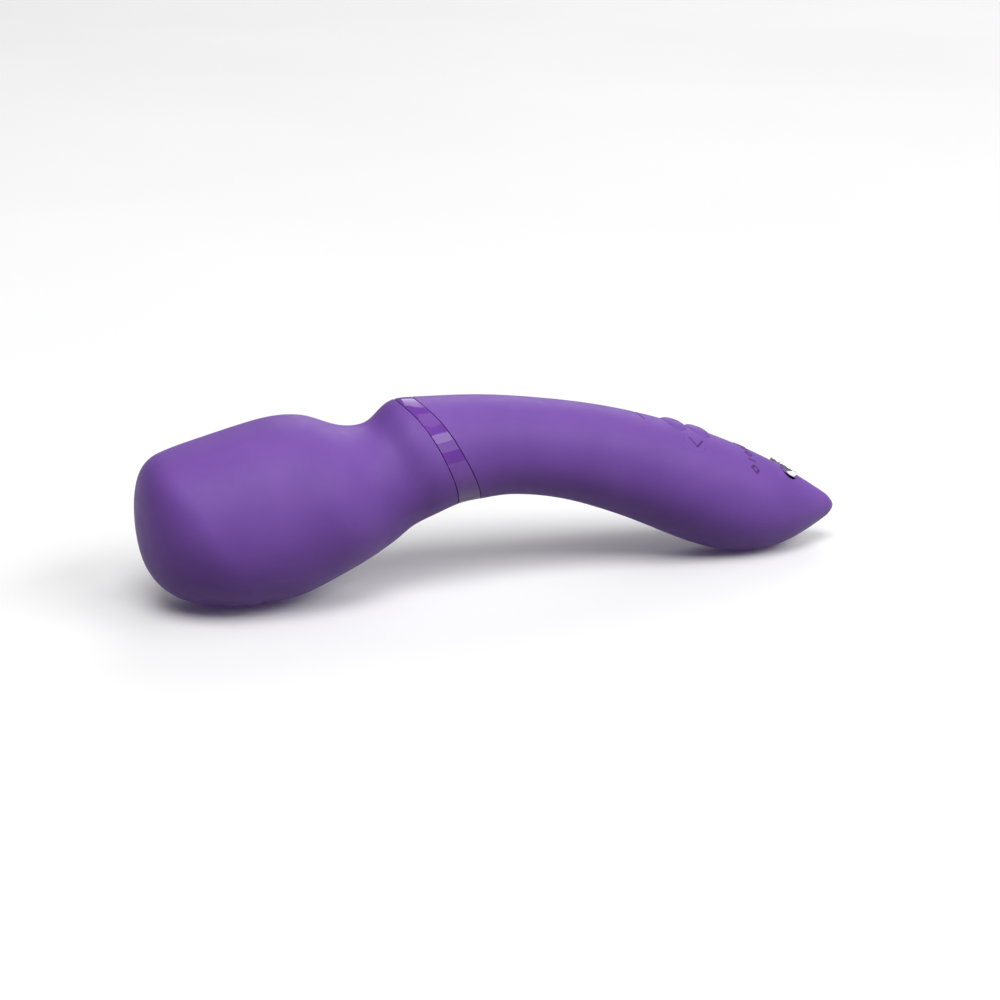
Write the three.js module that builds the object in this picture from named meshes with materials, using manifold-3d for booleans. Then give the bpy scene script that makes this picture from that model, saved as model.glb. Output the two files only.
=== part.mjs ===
// Cordless handheld wand massager: a weighted motor in a round head, a sprung flexible neck,
// and an arched handle with five keys and two magnetic charging contacts.
// Millimetres. +X runs from the head to the tail, +Z is up, and Y is the left-right direction.
// The origin is the centre of the base of the object's box.
import * as THREE from "three";
import { mergeVertices } from "three/addons/utils/BufferGeometryUtils.js";
import Module from "manifold-3d";

const wasm = await Module();
wasm.setup();

// ---------------------------------------------------------------- driving dimensions

// The outer form is drawn in side view by a top rail and a bottom rail. Each row is one
// section line: the rail points at its top (x, z) and at its bottom (x, z).
const SECTION_LINES = [
  [-128, 37.5, -109.5, -8],
  [-116.5, 48, -88.5, 0],
  [-98, 54, -73, 1.5],
  [-84, 57.5, -59.5, 6.5],
  [-73, 59, -48.5, 11.5],
  [-65, 58, -42.5, 14.5],
  [-57, 55, -37.5, 17.5],
  [-51, 54, -33.5, 20.5],
  [-45, 55.5, -28, 23],
  [-40.5, 59.5, -23, 25],
  [-37, 61.5, -18.5, 26.5],
  [-31.5, 62, -10.5, 27.5],
  [-14, 61.5, 0, 28],
  [6, 59.5, 14, 26],
  [29, 55.5, 29, 21.5],
  [50, 50, 46, 14.5],
  [70, 43, 63, 6.5],
  [89, 34.5, 82.5, 0.5],
  [106, 25, 102, 2],
  [121, 15, 121.5, 10.5],
];
const RING_FRONT_LINE = 10; // the section lines on the two edges of the trim ring
const RING_REAR_LINE = 11;
const NOSE = { length: 22.5, power: 1.95 }; // the rounded ends, as superellipses
const TAIL = { length: 4.2, power: 2.5 };

const GAP = 0.3; // clearance between neighbouring pieces
const SKIN_GAP = 0.6; // clearance between the silicone and the hard casings under it
const HEAD_SILICONE = 3;
const HANDLE_SILICONE = 2.5;
const CASING_WALL = 1.8;
const TRIM_RING_DEPTH = 2.6;

// Places along the body are distances along its centre line from the nose.
const HEAD_SLEEVE_END = 70;
const HEAD_CORE_END = 72;
const NECK_MIDDLE = 84;
const NECK_SOCKET_START = 94.5;
const CASING_START = 107;
const CASING_END = 242;
const SPIGOT_END = 113;
const KEY_BAND = { start: 150, end: 226 }; // the stretch of skin that the keys are cut from

const NECK_SPRING = { radius: 9, wire: 1, halfLength: 7.5, turns: 3 };
const NECK_SEAT = { radius: 12, thickness: 2.5, hole: 4 };

const MOTOR = { place: 44, radius: 12, length: 32, wall: 1.2, drop: 1.5 };
const SHAFT_RADIUS = 1.5;
const WEIGHT = { radius: 11, thickness: 8 };
const SCREW = { headRadius: 2, headHeight: 1.3, radius: 1, length: 10 };
const SCREW_SEAT = -5; // the head's underside is this far from the joint between the halves
const BOSS = { radius: 3, reach: 40 }; // a boss reaches well past the casing and is trimmed to it
const SPLIT_SIZE = 400; // the size of the blocks that split the casings, larger than the wand

const CONTROLS = { place: 188, pitch: 20.5 }; // the control panel's centre and its slope
const KEY_TRAVEL_GAP = 0.75; // free space under each key's stem
const STEM_RADIUS = 1.3;
const KEY_DEPTH = 1.9; // how deep each key's head reaches into the silicone
const KEY_SLIT = 0.4;
const KEY_PRISM = { low: -11, high: 8 }; // each key's outline, drawn out to cut the skin
const BOARD = { top: -10.8, thickness: 1.2, front: -25, rear: 22, halfWidth: 7.8 };
const SWITCH = { size: 3.6, height: 2.5, buttonRadius: 1.1, buttonHeight: 0.8 };
const BATTERY = { radius: 7.1, length: 48, x: 1, z: -20.8 };
const CONTACTS = { place: 228.4, radius: 3.25, proud: 0.8, spacing: 8, pitch: 31 };
const CONTACT_PIN_RADIUS = 1.1;
const CONTACT_DISC_DEPTH = 1.2; // how deep each contact's disc is set into the silicone
const CARRIER_TOP = -9.6;
const CHARGE_MAGNET = { radius: 1.6, high: -1.5, low: -3.8 }; // heights from the carrier's top

// Each key: its centre in the control panel's frame, its half sizes, how far it stands proud
// of the silicone, and where its stem and switch are sideways.
const KEYS = [
  { name: "power", x: -4.7, y: 0, halfX: 4.4, halfY: 6, proud: 0.8, stemY: 0, switchY: 0 },
  { name: "wave", x: 4.7, y: 0, halfX: 4.4, halfY: 6, proud: 0.8, stemY: 0, switchY: 0 },
  { name: "left", x: 0, y: 9.7, halfX: 4.4, halfY: 3.3, proud: 0.1, stemY: 7.4, switchY: 6.4 },
  { name: "right", x: 0, y: -9.7, halfX: 4.4, halfY: 3.3, proud: 0.1, stemY: -7.4, switchY: -6.4 },
  { name: "front", x: -17.6, y: 0, halfX: 4, halfY: 6, proud: 0.1, stemY: 0, switchY: 0 },
];

// ---------------------------------------------------------------- materials

function material(color, roughness, metalness = 0) {
  return new THREE.MeshStandardMaterial({ color, roughness, metalness });
}
const SILICONE = material(0x7f5ea8, 0.62);
const KEY_SILICONE = material(0x7a58a6, 0.55);
const GLOSS_TRIM = material(0x7a4ba9, 0.12);
const CASING = material(0x2c2a31, 0.5);
const STEEL = material(0x9c9ea3, 0.3, 1);
const BRASS = material(0xc29a4e, 0.35, 1);
const CHROME = material(0xd9dadd, 0.08, 1);
const MAGNET = material(0x55565c, 0.45, 0.8);
const RUBBER = material(0x1c1c1e, 0.85);
const CIRCUIT_BOARD = material(0x1f5a3a, 0.5);
const CHIP = material(0x17181b, 0.45);
const CONNECTOR = material(0xe9e4d3, 0.5);
const CELL_WRAP = material(0x2f6fb3, 0.4);
const LED = material(0xf4f6f2, 0.25);
const RED_WIRE = material(0xb3272a, 0.5);
const BLACK_WIRE = material(0x1b1b1d, 0.5);

// ---------------------------------------------------------------- the body's form

const radians = THREE.MathUtils.degToRad;

// A natural cubic spline through (knots, values), as a function of the distance along.
function naturalSpline(knots, values) {
  const last = knots.length - 1;
  const bend = new Array(knots.length).fill(0);
  const weight = new Array(knots.length).fill(0);
  const load = new Array(knots.length).fill(0);
  for (let i = 1; i < last; i++) {
    const before = knots[i] - knots[i - 1];
    const after = knots[i + 1] - knots[i];
    const share = before / (before + after);
    const pivot = share * weight[i - 1] + 2;
    const change = (values[i + 1] - values[i]) / after - (values[i] - values[i - 1]) / before;
    weight[i] = (share - 1) / pivot;
    load[i] = ((6 * change) / (before + after) - share * load[i - 1]) / pivot;
  }
  for (let i = last - 1; i > 0; i--) bend[i] = weight[i] * bend[i + 1] + load[i];
  return (at) => {
    let i = 0;
    while (i < last - 1 && at > knots[i + 1]) i++;
    const step = knots[i + 1] - knots[i];
    const a = (knots[i + 1] - at) / step;
    const b = 1 - a;
    const curve = (a ** 3 - a) * bend[i] + (b ** 3 - b) * bend[i + 1];
    return a * values[i] + b * values[i + 1] + (curve * step ** 2) / 6;
  };
}

const lineMiddles = SECTION_LINES.map(([tx, tz, bx, bz]) => [(tx + bx) / 2, (tz + bz) / 2]);
const PLACES = [0];
for (let i = 1; i < lineMiddles.length; i++) {
  const [x, z] = lineMiddles[i];
  const [lastX, lastZ] = lineMiddles[i - 1];
  PLACES.push(PLACES[i - 1] + Math.hypot(x - lastX, z - lastZ));
}
const BODY_LENGTH = PLACES.at(-1);
const RING_FRONT = PLACES[RING_FRONT_LINE];
const RING_REAR = PLACES[RING_REAR_LINE];
const rails = [0, 1, 2, 3].map((k) =>
  naturalSpline(
    PLACES,
    SECTION_LINES.map((line) => line[k]),
  ),
);

// The body is round across the direction it runs in, so a section line's half width is its
// half length seen along the line between its neighbours.
const halfWidths = SECTION_LINES.map(([topX, topZ, bottomX, bottomZ], i) => {
  const [x, z] = lineMiddles[Math.max(i - 1, 0)];
  const [nextX, nextZ] = lineMiddles[Math.min(i + 1, lineMiddles.length - 1)];
  const across = (nextX - x) * (topZ - bottomZ) - (nextZ - z) * (topX - bottomX);
  return across / 2 / Math.hypot(nextX - x, nextZ - z);
});
const halfWidthAt = naturalSpline(PLACES, halfWidths);

// The section at a place: its centre, the vector from its centre to its top edge, the
// direction that the body runs in, and its half width.
function sectionAt(place) {
  const [topX, topZ, bottomX, bottomZ] = rails.map((rail) => rail(place));
  const centre = new THREE.Vector3((topX + bottomX) / 2, 0, (topZ + bottomZ) / 2);
  const up = new THREE.Vector3((topX - bottomX) / 2, 0, (topZ - bottomZ) / 2);
  const step = 0.01;
  const ahead = rails.map((rail) => rail(place + step));
  const along = new THREE.Vector3(
    (ahead[0] + ahead[2]) / 2 - centre.x,
    0,
    (ahead[1] + ahead[3]) / 2 - centre.z,
  ).normalize();
  return { centre, up, along, halfWidth: halfWidthAt(place) };
}

// How much of the full section is left at a place, for the form that lies `inset` under the
// outer surface. It falls to nothing at the rounded nose and tail.
function sectionShare(place, inset) {
  const fromNose = Math.max(0, 1 - (place - inset) / NOSE.length);
  const fromTail = Math.max(0, 1 - (BODY_LENGTH - place) / TAIL.length);
  const nose = Math.max(0, 1 - fromNose ** NOSE.power) ** (1 / NOSE.power);
  const tail = Math.max(0, 1 - fromTail ** TAIL.power) ** (1 / TAIL.power);
  return nose * tail * (1 - inset / sectionAt(place).halfWidth);
}

// A lathe turned round the centre line: [place, share of the section] pairs make its profile,
// and the turned form is then bent along the body.
function bodyLathe(profile, sides) {
  const points = profile.map(([place, share]) => new THREE.Vector2(share, place));
  const geometry = new THREE.LatheGeometry(points, sides);
  const position = geometry.getAttribute("position");
  for (let i = 0; i < position.count; i++) {
    const section = sectionAt(position.getY(i));
    const bent = section.centre.clone().addScaledVector(section.up, position.getX(i));
    bent.y = section.halfWidth * position.getZ(i);
    position.setXYZ(i, bent.x, bent.y, bent.z);
  }
  return geometry;
}

// Profile points of the surface `inset` deep between two places, in the given number of steps.
function surfaceRun(inset, from, to, steps) {
  const run = [];
  for (let i = 0; i <= steps; i++) {
    const place = THREE.MathUtils.lerp(from, to, i / steps);
    run.push([place, sectionShare(place, inset)]);
  }
  return run;
}

// The same over the rounded nose, with its steps closer together where it turns.
function noseRun(inset, steps) {
  const run = [[inset, 0]];
  for (let i = 1; i <= steps; i++) {
    const place = inset + NOSE.length * (1 - Math.cos((Math.PI / 2) * (i / steps)));
    run.push([place, sectionShare(place, inset)]);
  }
  return run;
}

function tailRun(steps) {
  const run = [];
  for (let i = 0; i < steps; i++) {
    const place = BODY_LENGTH - TAIL.length * (1 - Math.sin((Math.PI / 2) * (i / steps)));
    run.push([place, sectionShare(place, 0)]);
  }
  run.push([BODY_LENGTH, 0]);
  return run;
}

// ---------------------------------------------------------------- joining and cutting

function solid(geometry, frame = new THREE.Matrix4()) {
  const plain = geometry.clone().applyMatrix4(frame);
  plain.deleteAttribute("normal");
  plain.deleteAttribute("uv");
  const merged = mergeVertices(plain, 1e-4);
  return new wasm.Manifold(
    new wasm.Mesh({
      numProp: 3,
      vertProperties: new Float32Array(merged.attributes.position.array),
      triVerts: new Uint32Array(merged.index.array),
    }),
  );
}

function geometryOf(manifold) {
  const { vertProperties, triVerts } = manifold.getMesh();
  const geometry = new THREE.BufferGeometry();
  geometry.setAttribute("position", new THREE.BufferAttribute(vertProperties, 3));
  geometry.setIndex(new THREE.BufferAttribute(triVerts, 1));
  return geometry.toNonIndexed();
}

function frameAt(origin, xAxis, zAxis) {
  const yAxis = new THREE.Vector3().crossVectors(zAxis, xAxis).normalize();
  return new THREE.Matrix4().makeBasis(xAxis, yAxis, zAxis).setPosition(origin);
}

// A frame tipped nose-down by `pitch` degrees: x runs down the slope, z is its normal.
function slopedFrame(origin, pitch) {
  const angle = radians(pitch);
  const xAxis = new THREE.Vector3(Math.cos(angle), 0, -Math.sin(angle));
  const zAxis = new THREE.Vector3(Math.sin(angle), 0, Math.cos(angle));
  return frameAt(origin, xAxis, zAxis);
}

// A cylinder along z, from z = low to z = high.
function rod(radius, low, high, x = 0, y = 0, sides = 12) {
  return new THREE.CylinderGeometry(radius, radius, high - low, sides)
    .rotateX(Math.PI / 2)
    .translate(x, y, (low + high) / 2);
}

function block(sizeX, sizeY, low, high, x = 0, y = 0) {
  return new THREE.BoxGeometry(sizeX, sizeY, high - low).translate(x, y, (low + high) / 2);
}

// A turned piece about z; its profile is given as [radius, z] pairs.
function turned(profile, sides = 16) {
  const points = profile.map(([radius, z]) => new THREE.Vector2(radius, z));
  return new THREE.LatheGeometry(points, sides).rotateX(Math.PI / 2);
}

// A ring about z with a square section.
function ring(inner, outer, low, high, sides = 16) {
  return turned(
    [
      [inner, low],
      [outer, low],
      [outer, high],
      [inner, high],
      [inner, low],
    ],
    sides,
  );
}

function ovalPrism(halfX, halfY, low, high, x, y) {
  const outline = new THREE.Shape();
  outline.absellipse(x, y, halfX, halfY, 0, 2 * Math.PI);
  const options = { depth: high - low, bevelEnabled: false, curveSegments: 9 };
  return new THREE.ExtrudeGeometry(outline, options).translate(0, 0, low);
}

function tube(points, radius, steps, sides = 5) {
  const path = new THREE.CatmullRomCurve3(points);
  const outline = new THREE.Shape();
  for (let i = 0; i < sides; i++) {
    const angle = (2 * Math.PI * i) / sides;
    const x = radius * Math.cos(angle);
    const y = radius * Math.sin(angle);
    if (i === 0) outline.moveTo(x, y);
    else outline.lineTo(x, y);
  }
  return new THREE.ExtrudeGeometry(outline, { steps, extrudePath: path, bevelEnabled: false });
}

// ---------------------------------------------------------------- the scene

const wand = new THREE.Group();

function add(name, geometry, finish, frame) {
  const mesh = new THREE.Mesh(geometry, finish);
  mesh.name = name;
  if (frame) frame.decompose(mesh.position, mesh.quaternion, mesh.scale);
  wand.add(mesh);
}

// The frames that the inner pieces are placed in.
const neckSection = sectionAt(NECK_MIDDLE);
const neckPlane = neckSection.up.clone().normalize();
const neckAxis = new THREE.Vector3(neckPlane.z, 0, -neckPlane.x);
const neckFrame = frameAt(neckSection.centre, neckPlane, neckAxis);

const motorSection = sectionAt(MOTOR.place);
const motorUp = new THREE.Vector3(-motorSection.along.z, 0, motorSection.along.x);
const motorCentre = motorSection.centre.clone().addScaledVector(motorUp, -MOTOR.drop);
const motorFrame = frameAt(motorCentre, motorUp, motorSection.along);

const controlsSection = sectionAt(CONTROLS.place);
const controlsFrame = slopedFrame(
  controlsSection.centre.clone().add(controlsSection.up),
  CONTROLS.pitch,
);

const contactsSection = sectionAt(CONTACTS.place);
const contactsFrame = slopedFrame(
  contactsSection.centre.clone().add(contactsSection.up),
  CONTACTS.pitch,
);

// ---------------------------------------------------------------- screws and their bosses

const screwGeometry = turned(
  [
    [0, SCREW.length],
    [SCREW.radius * 0.6, SCREW.length],
    [SCREW.radius, SCREW.length - 1],
    [SCREW.radius, 0],
    [SCREW.headRadius, 0],
    [SCREW.headRadius, -SCREW.headHeight],
    [SCREW.headRadius * 0.45, -SCREW.headHeight],
    [SCREW.headRadius * 0.45, -SCREW.headHeight * 0.4],
    [0, -SCREW.headHeight * 0.4],
  ].reverse(),
  8,
);

// Adds a boss to a casing at each screw and cuts the screw's hole and its counterbore.
function withScrewBosses(casing, envelope, frames) {
  let result = casing;
  for (const frame of frames) {
    const boss = solid(rod(BOSS.radius, -BOSS.reach, BOSS.reach), frame).intersect(envelope);
    result = result.add(boss);
  }
  for (const frame of frames) {
    const headHole = rod(SCREW.headRadius + GAP, -BOSS.reach, SCREW_SEAT + GAP);
    const tipEnd = SCREW_SEAT + SCREW.length + 1;
    const shankHole = rod(SCREW.radius + GAP, SCREW_SEAT - 1, tipEnd);
    result = result.subtract(solid(headHole, frame)).subtract(solid(shankHole, frame));
  }
  return result;
}

function addScrews(name, frames) {
  frames.forEach((frame, i) => {
    const seat = frame.clone().multiply(new THREE.Matrix4().makeTranslation(0, 0, SCREW_SEAT));
    add(`${name}_${i + 1}`, screwGeometry, STEEL, seat);
  });
}

// ---------------------------------------------------------------- the head

const headSleeve = [
  ...noseRun(0, 7),
  ...surfaceRun(0, NOSE.length, HEAD_SLEEVE_END, 7).slice(1),
  ...surfaceRun(HEAD_SILICONE, HEAD_SLEEVE_END, NOSE.length + HEAD_SILICONE, 5),
  ...noseRun(HEAD_SILICONE, 5).reverse().slice(1),
];
add("head_sleeve", bodyLathe(headSleeve, 24), SILICONE);

const CORE_INSET = HEAD_SILICONE + SKIN_GAP;
const CORE_INNER_INSET = CORE_INSET + CASING_WALL;
function headForm(inset, end) {
  return solid(
    bodyLathe(
      [
        ...noseRun(inset, 4),
        ...surfaceRun(inset, NOSE.length + inset, end, 4).slice(1),
        [end, 0],
      ],
      20,
    ),
  );
}

// Screws run left to right through the head, above and below the motor and behind it.
// Each place is given as its height over the motor's axis and its distance along it.
const coreScrewPlaces = [
  [17, 1],
  [-16, 1],
  [12, 20.5],
  [-10.5, 20.5],
];
const coreScrewFrames = coreScrewPlaces.map(([up, along]) => {
  const origin = new THREE.Vector3(up, 0, along).applyMatrix4(motorFrame);
  return frameAt(origin, new THREE.Vector3(1, 0, 0), new THREE.Vector3(0, 1, 0));
});
const coreOuter = headForm(CORE_INSET, HEAD_CORE_END);
let headCore = coreOuter
  .subtract(headForm(CORE_INNER_INSET, HEAD_CORE_END - CASING_WALL))
  .subtract(solid(rod(NECK_SEAT.hole, -20, 0), neckFrame));
headCore = withScrewBosses(headCore, headForm(CORE_INSET + 1, HEAD_CORE_END - 1), coreScrewFrames);
const halfBlock = new THREE.BoxGeometry(SPLIT_SIZE, SPLIT_SIZE, SPLIT_SIZE);
const splitOffset = SPLIT_SIZE / 2 + GAP / 2;
const leftSide = solid(halfBlock.clone().translate(0, splitOffset, 0));
const rightSide = solid(halfBlock.clone().translate(0, -splitOffset, 0));
add("head_core_left", geometryOf(headCore.intersect(leftSide)), CASING);
add("head_core_right", geometryOf(headCore.intersect(rightSide)), CASING);
addScrews("head_core_screw", coreScrewFrames);

// ---------------------------------------------------------------- the motor
// Along its z axis the shaft's front end points to the nose, so the front is at negative z.

const motorFront = -MOTOR.length / 2;
const motorRear = MOTOR.length / 2;
const bushRadius = 3.2;
const canProfile = [
  [bushRadius + GAP, motorFront],
  [MOTOR.radius, motorFront],
  [MOTOR.radius, motorRear - 3],
  [MOTOR.radius - MOTOR.wall, motorRear - 3],
  [MOTOR.radius - MOTOR.wall, motorFront + MOTOR.wall],
  [bushRadius + GAP, motorFront + MOTOR.wall],
  [bushRadius + GAP, motorFront],
];
add("motor_can", turned(canProfile), STEEL, motorFrame);
const endCap = ring(SHAFT_RADIUS + GAP, MOTOR.radius, motorRear - 3 + GAP, motorRear);
add("motor_end_cap", endCap, CHIP, motorFrame);
const bush = ring(SHAFT_RADIUS + GAP, bushRadius, motorFront - 1, motorFront + 2.5, 16);
add("motor_front_bush", bush, BRASS, motorFrame);
const magnetOuter = MOTOR.radius - MOTOR.wall - GAP;
const magnetRing = ring(magnetOuter - 2, magnetOuter, motorFront + 4, motorRear - 7);
add("motor_magnet_ring", magnetRing, MAGNET, motorFrame);
for (const [name, middle] of [
  ["motor_damper_front", -10],
  ["motor_damper_rear", 11],
]) {
  const damper = ring(MOTOR.radius + GAP, 19.5, middle - 2, middle + 2);
  add(name, damper, RUBBER, motorFrame);
}

const shaftFront = motorFront - 11.5;
const shaft = rod(SHAFT_RADIUS, shaftFront, motorRear + 1.5);
add("motor_shaft", shaft, STEEL, motorFrame);
const armatureOuter = magnetOuter - 2 - 0.6;
const armature = ring(SHAFT_RADIUS + GAP, armatureOuter, motorFront + 5, motorRear - 8, 18);
add("motor_armature", armature, BRASS, motorFrame);
// The weight is the lower half of a disc with a round hub on the shaft.
const weightRear = motorFront - 2;
const weightFront = weightRear - WEIGHT.thickness;
const weightDisc = solid(rod(WEIGHT.radius, weightFront, weightRear, 0, 0, 24));
const upperHalf = block(40, 60, weightFront - 1, weightRear + 1, 20);
const weightHub = solid(rod(4, weightFront, weightRear));
const weightBore = solid(rod(SHAFT_RADIUS + GAP, weightFront - 1, weightRear + 1));
const weight = weightDisc.subtract(solid(upperHalf)).add(weightHub).subtract(weightBore);
add("eccentric_weight", geometryOf(weight), STEEL, motorFrame);

// ---------------------------------------------------------------- the neck

const neckSleeve = [
  ...surfaceRun(0, HEAD_SLEEVE_END + GAP, RING_FRONT - GAP, 7),
  ...surfaceRun(HANDLE_SILICONE, RING_FRONT - GAP, HEAD_SLEEVE_END + GAP, 5),
];
neckSleeve.push(neckSleeve[0]);
add("neck_sleeve", bodyLathe(neckSleeve, 24), SILICONE);

const springPoints = [];
const springSteps = NECK_SPRING.turns * 12;
const springReach = NECK_SPRING.halfLength - NECK_SPRING.wire - GAP;
for (let i = 0; i <= springSteps; i++) {
  const share = i / springSteps;
  const angle = 2 * Math.PI * NECK_SPRING.turns * share;
  springPoints.push(
    new THREE.Vector3(
      NECK_SPRING.radius * Math.cos(angle),
      NECK_SPRING.radius * Math.sin(angle),
      THREE.MathUtils.lerp(-springReach, springReach, share),
    ),
  );
}
const spring = tube(springPoints, NECK_SPRING.wire, NECK_SPRING.turns * 14);
add("neck_spring", spring, STEEL, neckFrame);

const seatNear = NECK_SPRING.halfLength;
const seatFar = seatNear + NECK_SEAT.thickness;
const headSeat = ring(NECK_SEAT.hole, NECK_SEAT.radius, -seatFar, -seatNear, 20);
add("neck_seat_head", headSeat, STEEL, neckFrame);
const handleSeat = ring(NECK_SEAT.hole, NECK_SEAT.radius, seatNear, seatFar, 20);
add("neck_seat_handle", handleSeat, STEEL, neckFrame);

// ---------------------------------------------------------------- the ring and its socket

const trimRing = [
  ...surfaceRun(0, RING_FRONT, RING_REAR, 2),
  ...surfaceRun(TRIM_RING_DEPTH, RING_REAR, RING_FRONT, 1),
];
trimRing.push(trimRing[0]);
add("trim_ring", bodyLathe(trimRing, 32), GLOSS_TRIM);

const SOCKET_INSET = TRIM_RING_DEPTH + SKIN_GAP;
const SPIGOT_INSET = HANDLE_SILICONE + SKIN_GAP + CASING_WALL + SKIN_GAP;
const leadHole = 0.3; // the socket's central hole, as a share of the section
const neckSocket = [
  ...surfaceRun(SOCKET_INSET, NECK_SOCKET_START, CASING_START - GAP, 5),
  ...surfaceRun(SPIGOT_INSET, CASING_START - GAP, SPIGOT_END, 2),
  [SPIGOT_END, leadHole],
  [(NECK_SOCKET_START + SPIGOT_END) / 2, leadHole],
  [NECK_SOCKET_START, leadHole],
];
neckSocket.push(neckSocket[0]);
add("neck_socket", bodyLathe(neckSocket, 20), CASING);

// ---------------------------------------------------------------- the handle

const SLEEVE_START = RING_REAR + GAP;
const SLEEVE_INNER_END = CASING_END + GAP;
const sleeveForm = [
  ...surfaceRun(0, SLEEVE_START, BODY_LENGTH - TAIL.length, 12),
  ...tailRun(4).slice(1),
  [SLEEVE_INNER_END, 0],
  ...surfaceRun(HANDLE_SILICONE, SLEEVE_INNER_END, SLEEVE_START, 11),
];
sleeveForm.push(sleeveForm[0]);

function handleForm(inset, start, end) {
  const run = surfaceRun(inset, start, end, 8);
  return solid(bodyLathe([[start, 0], ...run, [end, 0]], 20));
}
const CASING_INSET = HANDLE_SILICONE + SKIN_GAP;
const CASING_INNER_INSET = CASING_INSET + CASING_WALL;

// Screws run upwards through the lower casing, in front of the board and behind it.
const casingScrewPlaces = [
  [150, 6.5],
  [150, -6.5],
  [234, 0],
];
const casingScrewFrames = casingScrewPlaces.map(([place, y]) => {
  const { centre, along } = sectionAt(place);
  const upwards = new THREE.Vector3(-along.z, 0, along.x);
  return frameAt(centre.clone().setY(y), along, upwards);
});
let handleCasing = handleForm(CASING_INSET, CASING_START, CASING_END).subtract(
  handleForm(CASING_INNER_INSET, CASING_START - 2, CASING_END - 4),
);
const casingEnvelope = handleForm(CASING_INSET + 1, CASING_START, CASING_END - 2);
handleCasing = withScrewBosses(handleCasing, casingEnvelope, casingScrewFrames);

// The casing is split along its centre line. This is the space under that line.
const lowerOutline = new THREE.Shape();
const splitStart = sectionAt(CASING_START - 4).centre;
const splitEnd = sectionAt(BODY_LENGTH).centre;
lowerOutline.moveTo(splitEnd.x + 20, -60);
lowerOutline.lineTo(splitEnd.x + 20, splitEnd.z);
const splitPoints = [];
for (let i = 0; i <= 9; i++) {
  const { centre } = sectionAt(THREE.MathUtils.lerp(BODY_LENGTH, CASING_START - 4, i / 9));
  splitPoints.push(new THREE.Vector2(centre.x, centre.z));
}
for (const point of splitPoints) lowerOutline.lineTo(point.x, point.y);
lowerOutline.lineTo(splitStart.x - 20, splitStart.z);
lowerOutline.lineTo(splitStart.x - 20, -60);
const lowerSpace = new THREE.ExtrudeGeometry(lowerOutline, { depth: 100, bevelEnabled: false })
  .rotateX(Math.PI / 2)
  .translate(0, 50, -GAP / 2);
const raisedSpace = solid(lowerSpace.clone().translate(0, 0, GAP));

// ---------------------------------------------------------------- keys and switches

const switchTop = BOARD.top + SWITCH.height + SWITCH.buttonHeight;
const stemLow = switchTop + KEY_TRAVEL_GAP;

function bandBetween(outerInset, innerInset) {
  const { start, end } = KEY_BAND;
  const band = [
    ...surfaceRun(outerInset, start, end, 12),
    ...surfaceRun(innerInset, end, start, 12),
  ];
  band.push(band[0]);
  return solid(bodyLathe(band, 24));
}

let handleSleeve = solid(bodyLathe(sleeveForm, 24));
let upperCasing = handleCasing.subtract(raisedSpace);
for (const key of KEYS) {
  const { name, x, y, halfX, halfY, proud, stemY, switchY } = key;
  const outline = ovalPrism(halfX, halfY, KEY_PRISM.low, KEY_PRISM.high, x, y);
  const head = solid(outline, controlsFrame).intersect(bandBetween(-proud, KEY_DEPTH));
  const stemTop = y === 0 ? -1 : -2.8;
  const stem = solid(rod(STEM_RADIUS, stemLow, stemTop, x, stemY, 12), controlsFrame);
  add(`${name}_key`, geometryOf(head.add(stem)), KEY_SILICONE);

  const [slitX, slitY] = [halfX + KEY_SLIT, halfY + KEY_SLIT];
  const slit = ovalPrism(slitX, slitY, KEY_PRISM.low, KEY_PRISM.high, x, y);
  handleSleeve = handleSleeve.subtract(solid(slit, controlsFrame));
  const stemHole = rod(STEM_RADIUS + 0.5, stemLow - 2, 0, x, stemY, 12);
  upperCasing = upperCasing.subtract(solid(stemHole, controlsFrame));

  const bodyTop = BOARD.top + SWITCH.height;
  const switchBody = block(SWITCH.size, SWITCH.size, BOARD.top + GAP, bodyTop, x, switchY);
  const button = rod(SWITCH.buttonRadius, bodyTop - 0.5, switchTop, x, switchY, 10);
  const keySwitch = solid(switchBody).add(solid(button));
  add(`${name}_switch`, geometryOf(keySwitch), CHIP, controlsFrame);
}

// ---------------------------------------------------------------- charging contacts

const contactSides = [
  ["left", CONTACTS.spacing / 2],
  ["right", -CONTACTS.spacing / 2],
];
for (const [side, y] of contactSides) {
  const disc = turned(
    [
      [0, -CARRIER_TOP - 0.3],
      [CONTACT_PIN_RADIUS, -CARRIER_TOP - 0.3],
      [CONTACT_PIN_RADIUS, CONTACT_DISC_DEPTH],
      [CONTACTS.radius, CONTACT_DISC_DEPTH],
      [CONTACTS.radius, 0.2 - CONTACTS.proud],
      [CONTACTS.radius - 0.2, -CONTACTS.proud],
      [0, -CONTACTS.proud],
    ].map(([radius, depth]) => [radius, -depth]),
    16,
  ).translate(0, y, 0);
  add(`charge_contact_${side}`, disc, CHROME, contactsFrame);
  const seat = rod(CONTACTS.radius + GAP, -CONTACT_DISC_DEPTH - GAP, 6, 0, y, 20);
  const pinHole = rod(CONTACT_PIN_RADIUS + GAP, CARRIER_TOP, 0, 0, y, 12);
  handleSleeve = handleSleeve.subtract(solid(seat, contactsFrame));
  handleSleeve = handleSleeve.subtract(solid(pinHole, contactsFrame));
  upperCasing = upperCasing.subtract(solid(pinHole, contactsFrame));
  const magnetLow = CARRIER_TOP + CHARGE_MAGNET.low;
  const magnetHigh = CARRIER_TOP + CHARGE_MAGNET.high;
  const magnet = rod(CHARGE_MAGNET.radius, magnetLow, magnetHigh, 0, y, 14);
  add(`charge_magnet_${side}`, magnet, MAGNET, contactsFrame);
}
const carrier = block(7, 11.2, CARRIER_TOP - 1.2, CARRIER_TOP);
add("contact_carrier", carrier, CIRCUIT_BOARD, contactsFrame);

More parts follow.
